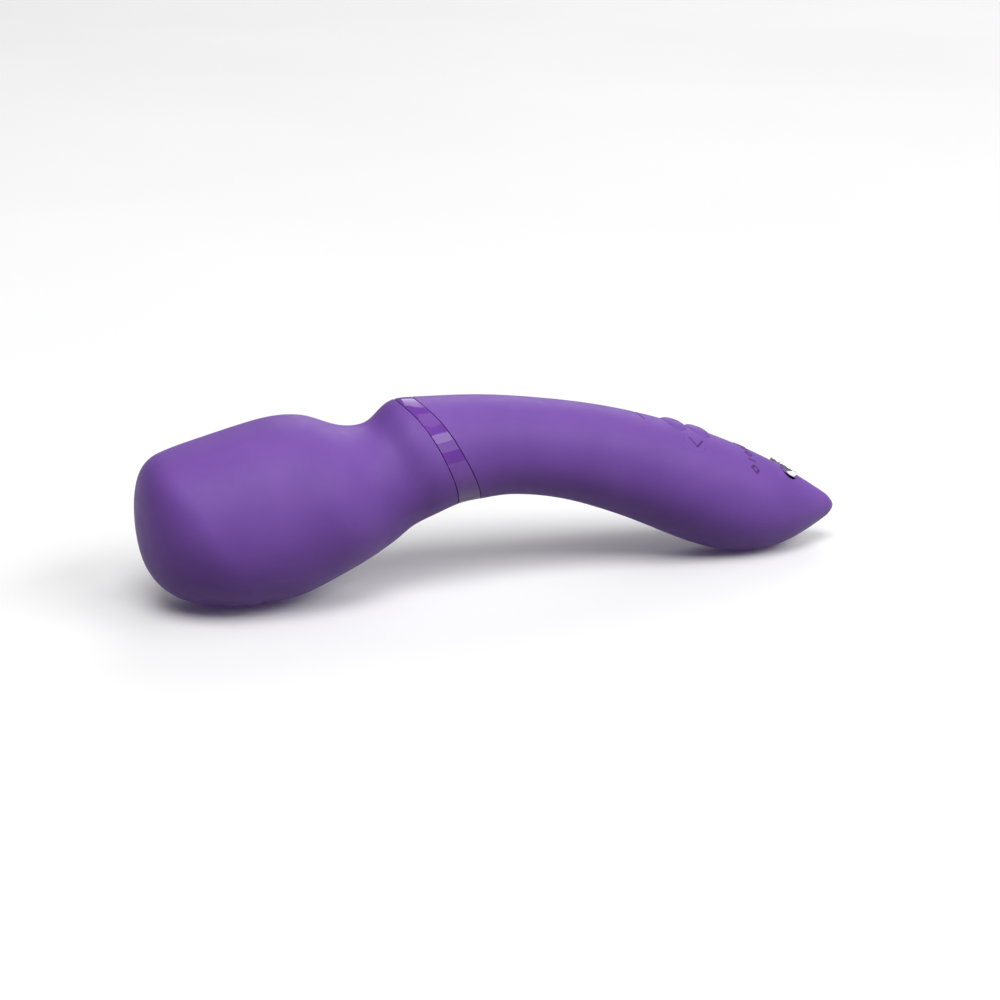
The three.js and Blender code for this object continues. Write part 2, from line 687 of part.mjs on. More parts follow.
add("handle_sleeve", geometryOf(handleSleeve), SILICONE);
add("handle_casing_upper", geometryOf(upperCasing), CASING);
const lowerCasing = handleCasing.intersect(solid(lowerSpace));
add("handle_casing_lower", geometryOf(lowerCasing), CASING);
addScrews("handle_casing_screw", casingScrewFrames);

// ---------------------------------------------------------------- the board and the battery

const boardLength = BOARD.rear - BOARD.front;
const boardMiddle = (BOARD.rear + BOARD.front) / 2;
const boardBottom = BOARD.top - BOARD.thickness;
let board = solid(
  block(boardLength, 2 * BOARD.halfWidth, boardBottom, BOARD.top, boardMiddle),
);
const boardScrews = [BOARD.front + 3, BOARD.rear - 3];
for (const x of boardScrews) {
  board = board.subtract(solid(rod(SCREW.radius + GAP, -20, 0, x, 0, 12)));
}
add("main_board", geometryOf(board), CIRCUIT_BOARD, controlsFrame);
const boardScrewGeometry = turned(
  [
    [0, BOARD.top + 1.4],
    [1.9, BOARD.top + 1.4],
    [1.9, BOARD.top + GAP],
    [SCREW.radius, BOARD.top + GAP],
    [SCREW.radius, boardBottom - 0.4],
    [0, boardBottom - 0.4],
  ].reverse(),
  12,
);
boardScrews.forEach((x, i) => {
  const screw = boardScrewGeometry.clone().translate(x, 0, 0);
  add(`board_screw_${i + 1}`, screw, STEEL, controlsFrame);
});
// Each piece on the board: its name, length, width, height, x, y and material.
const boardPieces = [
  ["control_chip", 5, 5, 1, 12.5, 3.4, CHIP],
  ["motor_driver_chip", 4, 3, 1, -11.5, 5, CHIP],
  ["motor_connector", 4.4, 5.4, 1.8, -14.5, -4.6, CONNECTOR],
  ["battery_connector", 4.4, 5.4, 1.8, 13, -4.6, CONNECTOR],
  ["status_led", 1.6, 1.6, 0.8, -8.6, -4, LED],
];
for (const [name, sizeX, sizeY, height, x, y, finish] of boardPieces) {
  const low = BOARD.top + GAP;
  add(name, block(sizeX, sizeY, low, low + height, x, y), finish, controlsFrame);
}

const cellTurned = turned(
  [
    [0, BATTERY.length / 2 + 1],
    [2.5, BATTERY.length / 2 + 1],
    [2.5, BATTERY.length / 2],
    [BATTERY.radius, BATTERY.length / 2],
    [BATTERY.radius, -BATTERY.length / 2],
    [0, -BATTERY.length / 2],
  ].reverse(),
  18,
);
const cellFrame = controlsFrame
  .clone()
  .multiply(new THREE.Matrix4().makeTranslation(BATTERY.x, 0, BATTERY.z))
  .multiply(new THREE.Matrix4().makeRotationY(Math.PI / 2));
add("battery_cell", cellTurned, CELL_WRAP, cellFrame);
for (const [name, middle] of [
  ["battery_pad_front", -16],
  ["battery_pad_rear", 15],
]) {
  const pad = ring(BATTERY.radius + GAP, BATTERY.radius + 1.1, middle - 4, middle + 4, 20);
  add(name, pad, RUBBER, cellFrame);
}

// ---------------------------------------------------------------- leads

function inFrame(points, frame) {
  return points.map(([x, y, z]) => new THREE.Vector3(x, y, z).applyMatrix4(frame));
}
const cellEnd = BATTERY.x + BATTERY.length / 2;
const leadColours = [
  ["red", 1, RED_WIRE],
  ["black", -1, BLACK_WIRE],
];
// Each lead's route is a list of points in the frames of the pieces that it passes.
for (const [colour, side, finish] of leadColours) {
  const motorEnd = inFrame([[0, -side * 5, motorRear + 1]], motorFrame);
  const throughNeck = inFrame(
    [-13, -6, 4, 12].map((along) => [0, -side * 1.6, along]),
    neckFrame,
  );
  const throughHandle = [111, 127, 141].map((place) => {
    return sectionAt(place).centre.setY(side * 1.6);
  });
  const leadY = side * 1.3 - 4.6;
  const overBoard = BOARD.top + 1.6;
  const boardEnd = inFrame(
    [
      [-33, side * 1.6, -15.5],
      [-27, side * 1.5 - 3, overBoard + 0.2],
      [-17.2, leadY, overBoard],
    ],
    controlsFrame,
  );
  const route = [...motorEnd, ...throughNeck, ...throughHandle, ...boardEnd];
  add(`motor_lead_${colour}`, tube(route, 0.6, 32), finish);

  const batteryRoute = inFrame(
    [
      [cellEnd + 1.9, side * 1.2, BATTERY.z + 2],
      [cellEnd + 1.6, side * 1.2 - 2, boardBottom - 2],
      [cellEnd - 0.8, side * 1.2 - 4, BOARD.top + 1.2],
      [15.7, side * 1.2 - 4.6, BOARD.top + 1.2],
    ],
    controlsFrame,
  );
  add(`battery_lead_${colour}`, tube(batteryRoute, 0.5, 14), finish);
}

export default wand;
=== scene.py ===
"""Looks of a cordless handheld wand massager, built round its CAD parts.

The soft skin, the gloss ring, the keys and the charging discs are fine meshes of the same
form as the CAD parts. Everything inside keeps its CAD shape and gets its finish here.
Shapes are worked out in millimetres and made in metres.
"""

import math

import bmesh
import bpy
import numpy as np
from mathutils import Matrix, Vector


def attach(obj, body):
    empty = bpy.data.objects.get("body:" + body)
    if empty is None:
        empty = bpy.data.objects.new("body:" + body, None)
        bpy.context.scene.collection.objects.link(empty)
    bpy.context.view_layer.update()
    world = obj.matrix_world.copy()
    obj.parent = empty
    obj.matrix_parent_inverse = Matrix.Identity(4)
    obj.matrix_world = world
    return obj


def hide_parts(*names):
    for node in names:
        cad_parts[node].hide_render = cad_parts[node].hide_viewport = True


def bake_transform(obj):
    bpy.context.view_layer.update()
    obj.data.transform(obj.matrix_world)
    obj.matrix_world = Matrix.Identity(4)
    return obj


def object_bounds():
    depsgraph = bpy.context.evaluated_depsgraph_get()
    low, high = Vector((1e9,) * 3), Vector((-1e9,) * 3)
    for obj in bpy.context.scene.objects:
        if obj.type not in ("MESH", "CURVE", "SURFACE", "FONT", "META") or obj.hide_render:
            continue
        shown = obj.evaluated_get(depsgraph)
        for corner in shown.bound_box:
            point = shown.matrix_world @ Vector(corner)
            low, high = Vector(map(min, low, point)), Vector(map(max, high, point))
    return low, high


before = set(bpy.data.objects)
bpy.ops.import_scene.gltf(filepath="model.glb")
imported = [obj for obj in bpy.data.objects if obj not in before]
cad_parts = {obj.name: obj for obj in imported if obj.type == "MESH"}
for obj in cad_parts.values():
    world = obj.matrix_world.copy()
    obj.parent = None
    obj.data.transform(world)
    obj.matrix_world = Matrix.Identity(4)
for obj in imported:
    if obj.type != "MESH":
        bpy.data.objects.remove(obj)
cad_low, cad_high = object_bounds()

MM = 0.001

# ------------------------------------------------------------------ the body's form

# Each row is one section line of the side view, from the nose to the tail: the top rail's
# point (x, z) and the bottom rail's point (x, z).
SECTION_LINES = np.array(
    [
        (-128, 37.5, -109.5, -8),
        (-116.5, 48, -88.5, 0),
        (-98, 54, -73, 1.5),
        (-84, 57.5, -59.5, 6.5),
        (-73, 59, -48.5, 11.5),
        (-65, 58, -42.5, 14.5),
        (-57, 55, -37.5, 17.5),
        (-51, 54, -33.5, 20.5),
        (-45, 55.5, -28, 23),
        (-40.5, 59.5, -23, 25),
        (-37, 61.5, -18.5, 26.5),
        (-31.5, 62, -10.5, 27.5),
        (-14, 61.5, 0, 28),
        (6, 59.5, 14, 26),
        (29, 55.5, 29, 21.5),
        (50, 50, 46, 14.5),
        (70, 43, 63, 6.5),
        (89, 34.5, 82.5, 0.5),
        (106, 25, 102, 2),
        (121, 15, 121.5, 10.5),
    ]
)
RING_FRONT_LINE = 10
RING_REAR_LINE = 11
NOSE_LENGTH, NOSE_POWER = 22.5, 1.95
TAIL_LENGTH, TAIL_POWER = 4.2, 2.5

line_middles = (SECTION_LINES[:, :2] + SECTION_LINES[:, 2:]) / 2
line_gaps = np.linalg.norm(np.diff(line_middles, axis=0), axis=1)
PLACES = np.concatenate([[0], np.cumsum(line_gaps)])  # how far along the body each line is
BODY_LENGTH = PLACES[-1]
RING_FRONT = PLACES[RING_FRONT_LINE]
RING_REAR = PLACES[RING_REAR_LINE]

HEAD_SILICONE = 3  # how thick the skin is on the head
HANDLE_SILICONE = 2.5  # and on the neck and the handle
HEAD_SILICONE_END, SILICONE_EASE = 60, 10  # where it starts to thin, and over what length
NECK_MIDDLE = 84
HANDLE_INNER_END = 242.3
RING_DEPTH = 2.6

# The ring's two edges bow towards the tail at its sides, and the rows near them follow.
RING_BOW = 1.5
RING_BOW_LEAN = 0.8  # how much more they bow above the sides than below them
BOW_FADE_FRONT, BOW_FADE_REAR = 12, 26


def natural_spline(knots, values):
    """A natural cubic spline through the values, as a function of the place."""
    steps = np.diff(knots)
    system = np.eye(len(knots))
    load = np.zeros(len(knots))
    for i in range(1, len(knots) - 1):
        system[i, i - 1 : i + 2] = steps[i - 1], 2 * (steps[i - 1] + steps[i]), steps[i]
        slopes = np.diff(values[i - 1 : i + 2]) / steps[i - 1 : i + 1]
        load[i] = 6 * (slopes[1] - slopes[0])
    bend = np.linalg.solve(system, load)

    def at(place):
        i = np.clip(np.searchsorted(knots, place, side="left") - 1, 0, len(steps) - 1)
        a = (knots[i + 1] - place) / steps[i]
        b = 1 - a
        curve = (a**3 - a) * bend[i] + (b**3 - b) * bend[i + 1]
        return a * values[i] + b * values[i + 1] + curve * steps[i] ** 2 / 6

    return at


rails = [natural_spline(PLACES, SECTION_LINES[:, k]) for k in range(4)]


def line_half_widths():
    """The body is round across the direction it runs in, so a section line's half width is its
    half length seen along the line between its neighbours."""
    padded = np.concatenate([line_middles[:1], line_middles, line_middles[-1:]])
    between = padded[2:] - padded[:-2]
    between /= np.linalg.norm(between, axis=1, keepdims=True)
    upwards = (SECTION_LINES[:, :2] - SECTION_LINES[:, 2:]) / 2
    return between[:, 0] * upwards[:, 1] - between[:, 1] * upwards[:, 0]


half_width_at = natural_spline(PLACES, line_half_widths())


def section(place):
    """The section at a place: its centre (x, z), the vector (x, z) from there up to its top
    edge, and its half width."""
    top_x, top_z, bottom_x, bottom_z = (rail(place) for rail in rails)
    centre = np.stack([(top_x + bottom_x) / 2, (top_z + bottom_z) / 2], -1)
    up = np.stack([(top_x - bottom_x) / 2, (top_z - bottom_z) / 2], -1)
    return centre, up, half_width_at(place)


def share_at(place, inset):
    """How much of the full section is left at a place, for the form `inset` deep."""
    from_nose = np.clip(1 - (place - inset) / NOSE_LENGTH, 0, 1)
    from_tail = np.clip(1 - (BODY_LENGTH - place) / TAIL_LENGTH, 0, 1)
    nose = (1 - from_nose**NOSE_POWER) ** (1 / NOSE_POWER)
    tail = (1 - from_tail**TAIL_POWER) ** (1 / TAIL_POWER)
    return nose * tail * (1 - inset / section(place)[2])


def bow(place, turn):
    """How far the rows near the ring bow towards the tail: most at the sides, none at the top."""
    before = np.maximum(RING_FRONT - place, 0) / BOW_FADE_FRONT
    after = np.maximum(place - RING_REAR, 0) / BOW_FADE_REAR
    fade = 0.5 + 0.5 * np.cos(math.pi * np.minimum(before + after, 1))
    return RING_BOW * fade * (1 - np.cos(turn) ** 4) * (1 + RING_BOW_LEAN * np.cos(turn))


def body_point(place, turn, inset=0.0):
    """Points of the body: turn 0 is the top of a section and pi/2 its left side."""
    place, turn, inset = np.broadcast_arrays(
        np.asarray(place, float), np.asarray(turn, float), np.asarray(inset, float)
    )
    place = place + bow(place, turn)
    centre, up, half_width = section(place)
    share = share_at(place, inset)
    rise = share * np.cos(turn)
    point = np.empty(place.shape + (3,))
    point[..., 0] = centre[..., 0] + up[..., 0] * rise
    point[..., 1] = half_width * share * np.sin(turn)
    point[..., 2] = centre[..., 1] + up[..., 1] * rise
    return point


def body_normal(place, turn):
    """The direction straight out of the body's surface."""
    step = 0.01
    along = body_point(place + step, turn) - body_point(place - step, turn)
    round_ = body_point(place, turn + step) - body_point(place, turn - step)
    normal = np.cross(round_, along)
    return normal / np.linalg.norm(normal, axis=-1, keepdims=True)


# ------------------------------------------------------------------ meshes


def mesh_piece(name, points, faces, finish):
    """A smooth-shaded Blender object from points in millimetres."""
    mesh = bpy.data.meshes.new(name)
    mesh.from_pydata(np.asarray(points) * MM, [], faces)
    mesh.validate()
    mesh.shade_smooth()
    mesh.materials.append(finish)
    piece = bpy.data.objects.new(name, mesh)
    bpy.context.scene.collection.objects.link(piece)
    return piece


def closed_pairs(loop):
    """Each item of a closed loop with the next one."""
    return zip(loop, loop[1:] + loop[:1])


def strip_faces(first, second):
    """Quads between two closed loops of point numbers."""
    return [(a, b, d, c) for (a, b), (c, d) in zip(closed_pairs(first), closed_pairs(second))]


def fan_faces(loop, tip):
    """Triangles from a closed loop of point numbers to one tip."""
    return [(a, b, tip) for a, b in closed_pairs(loop)]


def flipped(faces):
    """The same faces, seen from the other side."""
    return [(face[0], *face[:0:-1]) for face in faces]


def stack_faces(loops, tip):
    """Faces down a stack of loops, from the first one to a tip under the last."""
    faces = []
    for first, second in zip(loops, loops[1:]):
        faces += flipped(strip_faces(first, second))
    return faces + flipped(fan_faces(loops[-1], tip))


def bent_lathe(name, profile, turns, finish):
    """A closed ring of (place, inset) rows turned round the body's line. Rows with no width
    become one point."""
    points, rows, faces = [], [], []
    for place, inset in profile:
        start = len(points)
        if share_at(np.float64(place), inset) < 1e-6:
            points.append(body_point(place, 0.0, inset))
            rows.append([start])
        else:
            points.extend(body_point(place, turns, inset))
            rows.append(list(range(start, start + len(turns))))
    for first, second in closed_pairs(rows):
        if len(first) == 1 and len(second) == 1:
            continue
        if len(first) == 1:
            faces += flipped(fan_faces(second, first[0]))
        elif len(second) == 1:
            faces += fan_faces(first, second[0])
        else:
            faces += strip_faces(first, second)
    return mesh_piece(name, points, flipped(faces), finish)  # the faces point outwards


def even_turns(sides):
    return np.linspace(0, 2 * math.pi, sides, endpoint=False)


def run(start, end, step, inset=0.0):
    """(place, inset) rows from start to end, about `step` apart."""
    count = max(1, round(abs(end - start) / step))
    return [(place, inset) for place in np.linspace(start, end, count + 1)]


def edge_round(place, radius, towards, steps=5):
    """Rows that turn from the outer surface into the cut at `place`. `towards` is +1 where the
    piece ends there and -1 where it starts."""
    rows = []
    for angle in np.linspace(0, math.pi / 2, steps + 1):
        back = radius * (1 - math.sin(angle))
        rows.append((place - towards * back, radius * (1 - math.cos(angle))))
    return rows if towards > 0 else rows[::-1]


# ------------------------------------------------------------------ node materials


class Finish:
    """A node material under construction, with its Principled shader."""

    def __init__(self, name, base, roughness, **sockets):
        self.material = bpy.data.materials.new(name)
        self.material.use_nodes = True
        self.material.diffuse_color = (*base, 1)
        self.nodes = self.material.node_tree.nodes
        self.links = self.material.node_tree.links
        self.shader = self.nodes["Principled BSDF"]
        self.set("Base Color", (*base, 1))
        self.set("Roughness", roughness)
        for socket, value in sockets.items():
            self.set(socket.replace("_", " "), value)
        self.coordinates = self.nodes.new("ShaderNodeTexCoord").outputs["Object"]

    def set(self, socket, value):
        self.shader.inputs[socket].default_value = value

    def stretched(self, scale):
        mapping = self.nodes.new("ShaderNodeMapping")
        mapping.inputs["Scale"].default_value = scale
        self.links.new(self.coordinates, mapping.inputs["Vector"])
        return mapping.outputs["Vector"]

    def noise(self, scale, detail=3.0, source=None, roughness=0.5):
        node = self.nodes.new("ShaderNodeTexNoise")
        node.inputs["Scale"].default_value = scale
        node.inputs["Detail"].default_value = detail
        node.inputs["Roughness"].default_value = roughness
        self.links.new(source or self.coordinates, node.inputs["Vector"])
        return node.outputs["Fac"]

    def remap(self, source, low, high, from_low=0.3, from_high=0.7):
        node = self.nodes.new("ShaderNodeMapRange")
        for socket, value in (
            ("From Min", from_low),
            ("From Max", from_high),
            ("To Min", low),
            ("To Max", high),
        ):
            node.inputs[socket].default_value = value
        self.links.new(source, node.inputs["Value"])
        return node.outputs["Result"]

    def ramp(self, source, *stops):
        node = self.nodes.new("ShaderNodeValToRGB")
        elements = node.color_ramp.elements
        while len(elements) < len(stops):
            elements.new(0.5)
        for element, (position, colour) in zip(elements, stops):
            element.position = position
            element.color = (*colour, 1)
        self.links.new(source, node.inputs["Fac"])
        return node.outputs["Color"]

    def mix(self, factor, first, second):
        """Mixes two colours; each is an output or an RGB triple."""
        node = self.nodes.new("ShaderNodeMix")
        node.data_type = "RGBA"
        self.links.new(factor, node.inputs["Factor"])
        for value, socket in ((first, node.inputs[6]), (second, node.inputs[7])):
            if isinstance(value, tuple):
                socket.default_value = (*value, 1)
            else:
                self.links.new(value, socket)
        return node.outputs[2]

    def attribute(self, name):
        node = self.nodes.new("ShaderNodeAttribute")
        node.attribute_name = name
        return node.outputs["Fac"]

    def colour(self, output):
        self.links.new(output, self.shader.inputs["Base Color"])

    def rough(self, output):
        self.links.new(output, self.shader.inputs["Roughness"])

    def bump(self, height, distance, strength=1.0):
        node = self.nodes.new("ShaderNodeBump")
        node.inputs["Distance"].default_value = distance * MM
        node.inputs["Strength"].default_value = strength
        self.links.new(height, node.inputs["Height"])
        self.links.new(node.outputs["Normal"], self.shader.inputs["Normal"])


PURPLE = (0.187, 0.078, 0.392)
PURPLE_DEEP = (0.174, 0.071, 0.37)
PURPLE_LIGHT = (0.2, 0.085, 0.412)
# painted shade: the darker colour put into the bottoms of the engraved lines
ENGRAVING_SHADE_PURPLE = (0.085, 0.026, 0.175)
GLOSS_PURPLE = (0.172, 0.052, 0.365)
GLOSS_PURPLE_DEEP = (0.160, 0.047, 0.35)
GLOSS_PURPLE_LIGHT = (0.184, 0.058, 0.38)


def silicone(name, engraving_shade=False):
    """Matt silicone: a soft haze, faint clouding, and a grain of about a fifth of a millimetre."""
    finish = Finish(
        name,
        PURPLE,
        0.52,
        Specular_IOR_Level=0.24,
        Sheen_Weight=0.08,
        Sheen_Roughness=0.4,
        Sheen_Tint=(0.82, 0.74, 0.95, 1),
    )
    clouds = finish.noise(55, 4)
    colour = finish.ramp(clouds, (0.3, PURPLE_DEEP), (0.7, PURPLE_LIGHT))
    # painted shade: the engraved lines are coloured darker by how deep each point is cut
    if engraving_shade:
        colour = finish.mix(finish.attribute("engraving_shade"), colour, ENGRAVING_SHADE_PURPLE)
    finish.colour(colour)
    grain = finish.noise(5200, 2)
    finish.rough(finish.remap(finish.noise(240, 3), 0.48, 0.57))
    finish.bump(grain, 0.012, 0.35)
    return finish.material


def gloss_trim():
    """Polished coloured plastic, with faint clouding and fine rub marks in its gloss."""
    finish = Finish("gloss_trim", GLOSS_PURPLE, 0.05, Specular_IOR_Level=0.32)
    clouds = finish.noise(90, 3)
    finish.colour(finish.ramp(clouds, (0.3, GLOSS_PURPLE_DEEP), (0.7, GLOSS_PURPLE_LIGHT)))
    rubbed = finish.noise(900, 3, finish.stretched((1, 6, 1)))
    finish.rough(finish.remap(rubbed, 0.04, 0.085))
    return finish.material


def chrome():
    """Bright plating with faint stains and a haze of fine scratches."""
    finish = Finish("chrome", (0.86, 0.86, 0.88), 0.06, Metallic=1.0)
    stains = finish.noise(400, 3)
    finish.colour(finish.ramp(stains, (0.3, (0.80, 0.80, 0.83)), (0.7, (0.90, 0.90, 0.91))))
    finish.rough(finish.remap(finish.noise(2500, 3), 0.04, 0.10))
    return finish.material


def metal(name, dark, light, roughness, brushed=(1, 1, 1)):
    """Turned or drawn metal, with tool lines across the directions that `brushed` stretches."""
    finish = Finish(name, light, roughness, Metallic=1.0)
    lines = finish.noise(900, 4, finish.stretched(brushed))
    finish.colour(finish.ramp(lines, (0.3, dark), (0.7, light)))
    finish.rough(finish.remap(lines, roughness * 0.75, roughness * 1.3))
    finish.bump(lines, 0.01, 0.3)
    return finish.material


def moulding(name, dark, light, roughness, grain_scale, grain_depth):
    """Moulded plastic or rubber with an eroded grain."""
    finish = Finish(name, light, roughness)
    finish.colour(finish.ramp(finish.noise(120, 4), (0.3, dark), (0.7, light)))
    grain = finish.noise(grain_scale, 3)
    finish.rough(finish.remap(grain, roughness * 0.88, min(1, roughness * 1.12)))
    finish.bump(grain, grain_depth, 0.5)
    return finish.material


def circuit_board():
    """Green solder mask over copper tracks that run square to each other."""
    finish = Finish("circuit_board", (0.012, 0.11, 0.05), 0.35)
    tracks = finish.nodes.new("ShaderNodeTexBrick")
    tracks.inputs["Scale"].default_value = 420
    tracks.inputs["Mortar Size"].default_value = 0.07
    tracks.inputs["Mortar Smooth"].default_value = 0.1
    finish.links.new(finish.coordinates, tracks.inputs["Vector"])
    dark_green, light_green = (0.010, 0.09, 0.04), (0.015, 0.13, 0.06)
    mask = finish.ramp(finish.noise(300, 3), (0.3, dark_green), (0.7, light_green))
    finish.colour(finish.mix(tracks.outputs["Fac"], mask, (0.05, 0.22, 0.08)))
    finish.rough(finish.remap(finish.noise(700, 2), 0.3, 0.42))
    finish.bump(tracks.outputs["Fac"], 0.03, 0.5)
    return finish.material


def cell_wrap():
    """A shrink sleeve: smooth film with faint tight wrinkles round the cell."""
    finish = Finish("cell_wrap", (0.03, 0.15, 0.42), 0.3, Coat_Weight=0.3)
    wrinkles = finish.noise(260, 4, finish.stretched((4, 1, 1)))
    finish.colour(finish.ramp(wrinkles, (0.3, (0.026, 0.13, 0.38)), (0.7, (0.036, 0.17, 0.46))))
    finish.rough(finish.remap(wrinkles, 0.24, 0.38))
    finish.bump(wrinkles, 0.05, 0.4)
    return finish.material


def armature_winding():
    """Lacquered copper wire, a fifth of a millimetre thick, laid side by side."""
    finish = Finish("armature_winding", (0.62, 0.28, 0.10), 0.3, Metallic=1.0)
    wires = finish.nodes.new("ShaderNodeTexWave")
    wires.wave_type = "BANDS"
    wires.bands_direction = "X"
    wires.inputs["Scale"].default_value = 800
    wires.inputs["Distortion"].default_value = 1.2
    finish.links.new(finish.coordinates, wires.inputs["Vector"])
    # painted shade: the colour follows the wires, darker in the grooves between them
    finish.colour(
        finish.ramp(wires.outputs["Fac"], (0.2, (0.30, 0.11, 0.035)), (0.8, (0.72, 0.34, 0.13)))
    )
    finish.rough(finish.remap(wires.outputs["Fac"], 0.4, 0.24))
    finish.bump(wires.outputs["Fac"], 0.05, 0.6)
    return finish.material


BLACK, DARK_GREY = (0.010, 0.010, 0.011), (0.020, 0.020, 0.021)

FINISHES = {
    "silicone": silicone("silicone"),
    "silicone_engraving_shade": silicone("silicone_engraving_shade", engraving_shade=True),
    "gloss_trim": gloss_trim(),
    "chrome": chrome(),
    "casing": moulding("casing", (0.018, 0.016, 0.022), (0.030, 0.027, 0.035), 0.5, 2600, 0.02),
    "steel": metal("steel", (0.40, 0.40, 0.42), (0.60, 0.60, 0.63), 0.3, (1, 8, 8)),
    "brass": metal("brass", (0.52, 0.34, 0.11), (0.74, 0.53, 0.21), 0.32),
    "winding": armature_winding(),
    "magnet": moulding("magnet", (0.07, 0.07, 0.08), (0.12, 0.12, 0.13), 0.42, 3200, 0.03),
    "rubber": moulding("rubber", BLACK, DARK_GREY, 0.8, 1800, 0.04),
    "circuit_board": circuit_board(),
    "chip": moulding("chip", (0.010, 0.010, 0.012), (0.022, 0.022, 0.025), 0.45, 5200, 0.01),
    "connector": moulding("connector", (0.66, 0.62, 0.50), (0.78, 0.74, 0.62), 0.45, 2400, 0.01),
    "cell": cell_wrap(),
    "led": moulding("led", (0.78, 0.80, 0.74), (0.90, 0.92, 0.86), 0.2, 4000, 0.005),
    "wire_red": moulding("wire_red", (0.38, 0.012, 0.014), (0.50, 0.022, 0.022), 0.42, 2200, 0.02),
    "wire_black": moulding("wire_black", BLACK, (0.018, 0.018, 0.02), 0.42, 2200, 0.02),
}

# The finish of each inner part, by how its name starts. The screws come before the casings.
NODE_FINISHES = {
    "steel": (
        "head_core_screw",
        "handle_casing_screw",
        "board_screw",
        "neck_spring",
        "neck_seat",
        "motor_can",
        "motor_shaft",
        "eccentric_weight",
    ),
    "casing": ("head_core", "handle_casing", "neck_socket"),
    "chip": (
        "motor_end_cap",
        "motor_driver_chip",
        "control_chip",
        *(f"{key}_switch" for key in ("power", "wave", "left", "right", "front")),
    ),
    "brass": ("motor_front_bush",),
    "winding": ("motor_armature",),
    "magnet": ("motor_magnet_ring", "charge_magnet"),
    "rubber": ("motor_damper", "battery_pad"),
    "circuit_board": ("main_board", "contact_carrier"),
    "connector": ("motor_connector", "battery_connector"),
    "wire_red": ("motor_lead_red", "battery_lead_red"),
    "wire_black": ("motor_lead_black", "battery_lead_black"),
    "cell": ("battery_cell",),
    "led": ("status_led",),
}
for node_name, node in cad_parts.items():
    for finish_name, starts in NODE_FINISHES.items():
        if node_name.startswith(starts):
            node.data.materials.clear()
            node.data.materials.append(FINISHES[finish_name])
            break

# ------------------------------------------------------------------ head, neck and ring

SKIN_SIDES, RING_SIDES = 144, 192
SKIN_STEP = 1.2
INNER_STEP = 3
SEAM = 0.2  # the dark line between the ring and the skin beside it
SKIN_EDGE = 0.22  # how far the skin's edges are rounded at the ring
RING_EDGE = 0.14
RIM_DEPTH = 0.6  # how deep the fine rows of a seam's wall go
SPLIT_EASE = (0.05, 0.3)  # fine rows on both sides of the split in the middle of the neck
NOSE_STEPS, INNER_NOSE_STEPS = 44, 10
HEAD_BEND_END = 66  # the head is stiff from here to the nose


def nose_rows(inset, steps):
    """Rows over the rounded nose, closer together where it turns."""
    return [
        (inset + NOSE_LENGTH * (1 - math.cos(math.pi / 2 * i / steps)), inset)
        for i in range(steps + 1)
    ]


def inner_inset(place):
    """The silicone is thicker on the head than from the waist on."""
    share = np.clip((place - HEAD_SILICONE_END) / SILICONE_EASE, 0, 1)
    return HEAD_SILICONE + (HANDLE_SILICONE - HEAD_SILICONE) * share


def build_head_skin():
    outer = (
        nose_rows(0, NOSE_STEPS)
        + run(NOSE_LENGTH, NECK_MIDDLE - 1, SKIN_STEP)[1:]
        + [(NECK_MIDDLE - ease, 0) for ease in reversed(SPLIT_EASE)]
        + [(NECK_MIDDLE, 0)]
    )
    inner = [
        (place, inner_inset(place))
        for place, _ in run(NECK_MIDDLE, NOSE_LENGTH + HEAD_SILICONE, INNER_STEP)[:-1]
    ]
    profile = outer + inner + nose_rows(HEAD_SILICONE, INNER_NOSE_STEPS)[::-1]
    return bent_lathe("head_skin", profile, even_turns(SKIN_SIDES), FINISHES["silicone"])


def build_neck_skin():
    end = RING_FRONT - SEAM
    profile = (
        [(NECK_MIDDLE + ease, 0) for ease in (0, *SPLIT_EASE)]
        + run(NECK_MIDDLE + 1, end - SKIN_EDGE - 0.4, 0.8)
        + edge_round(end, SKIN_EDGE, 1)
        + [(end, RIM_DEPTH)]
        + run(end, NECK_MIDDLE, 2.5, HANDLE_SILICONE)
    )
    return bent_lathe("neck_skin", profile, even_turns(SKIN_SIDES), FINISHES["silicone"])


def build_ring():
    profile = (
        [(RING_FRONT, RING_DEPTH), (RING_FRONT, RIM_DEPTH)]
        + edge_round(RING_FRONT, RING_EDGE, -1)
        + run(RING_FRONT + RING_EDGE + 0.2, RING_REAR - RING_EDGE - 0.2, 0.6)
        + edge_round(RING_REAR, RING_EDGE, 1)
        + [(RING_REAR, RIM_DEPTH)]
        + run(RING_REAR, RING_FRONT, 2.5, RING_DEPTH)[:-1]
    )
    return bent_lathe("gloss_ring", profile, even_turns(RING_SIDES), FINISHES["gloss_trim"])


def middle_of(place):
    """The centre of the section at a place, in metres."""
    x, z = section(np.float64(place))[0]
    return Vector((x, 0, z)) * MM


head_skin = build_head_skin()
bend_start, bend_end = middle_of(NECK_MIDDLE - 1), middle_of(HEAD_BEND_END)
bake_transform(head_skin)
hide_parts("head_sleeve")

neck_skin = build_neck_skin()
bend_start, bend_end = middle_of(RING_FRONT - 1), middle_of(NECK_MIDDLE + 1)
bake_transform(neck_skin)
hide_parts("neck_sleeve")

gloss_ring = build_ring()
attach(gloss_ring, "handle")
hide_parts("trim_ring")

# ------------------------------------------------------------------ keys and discs: where they are


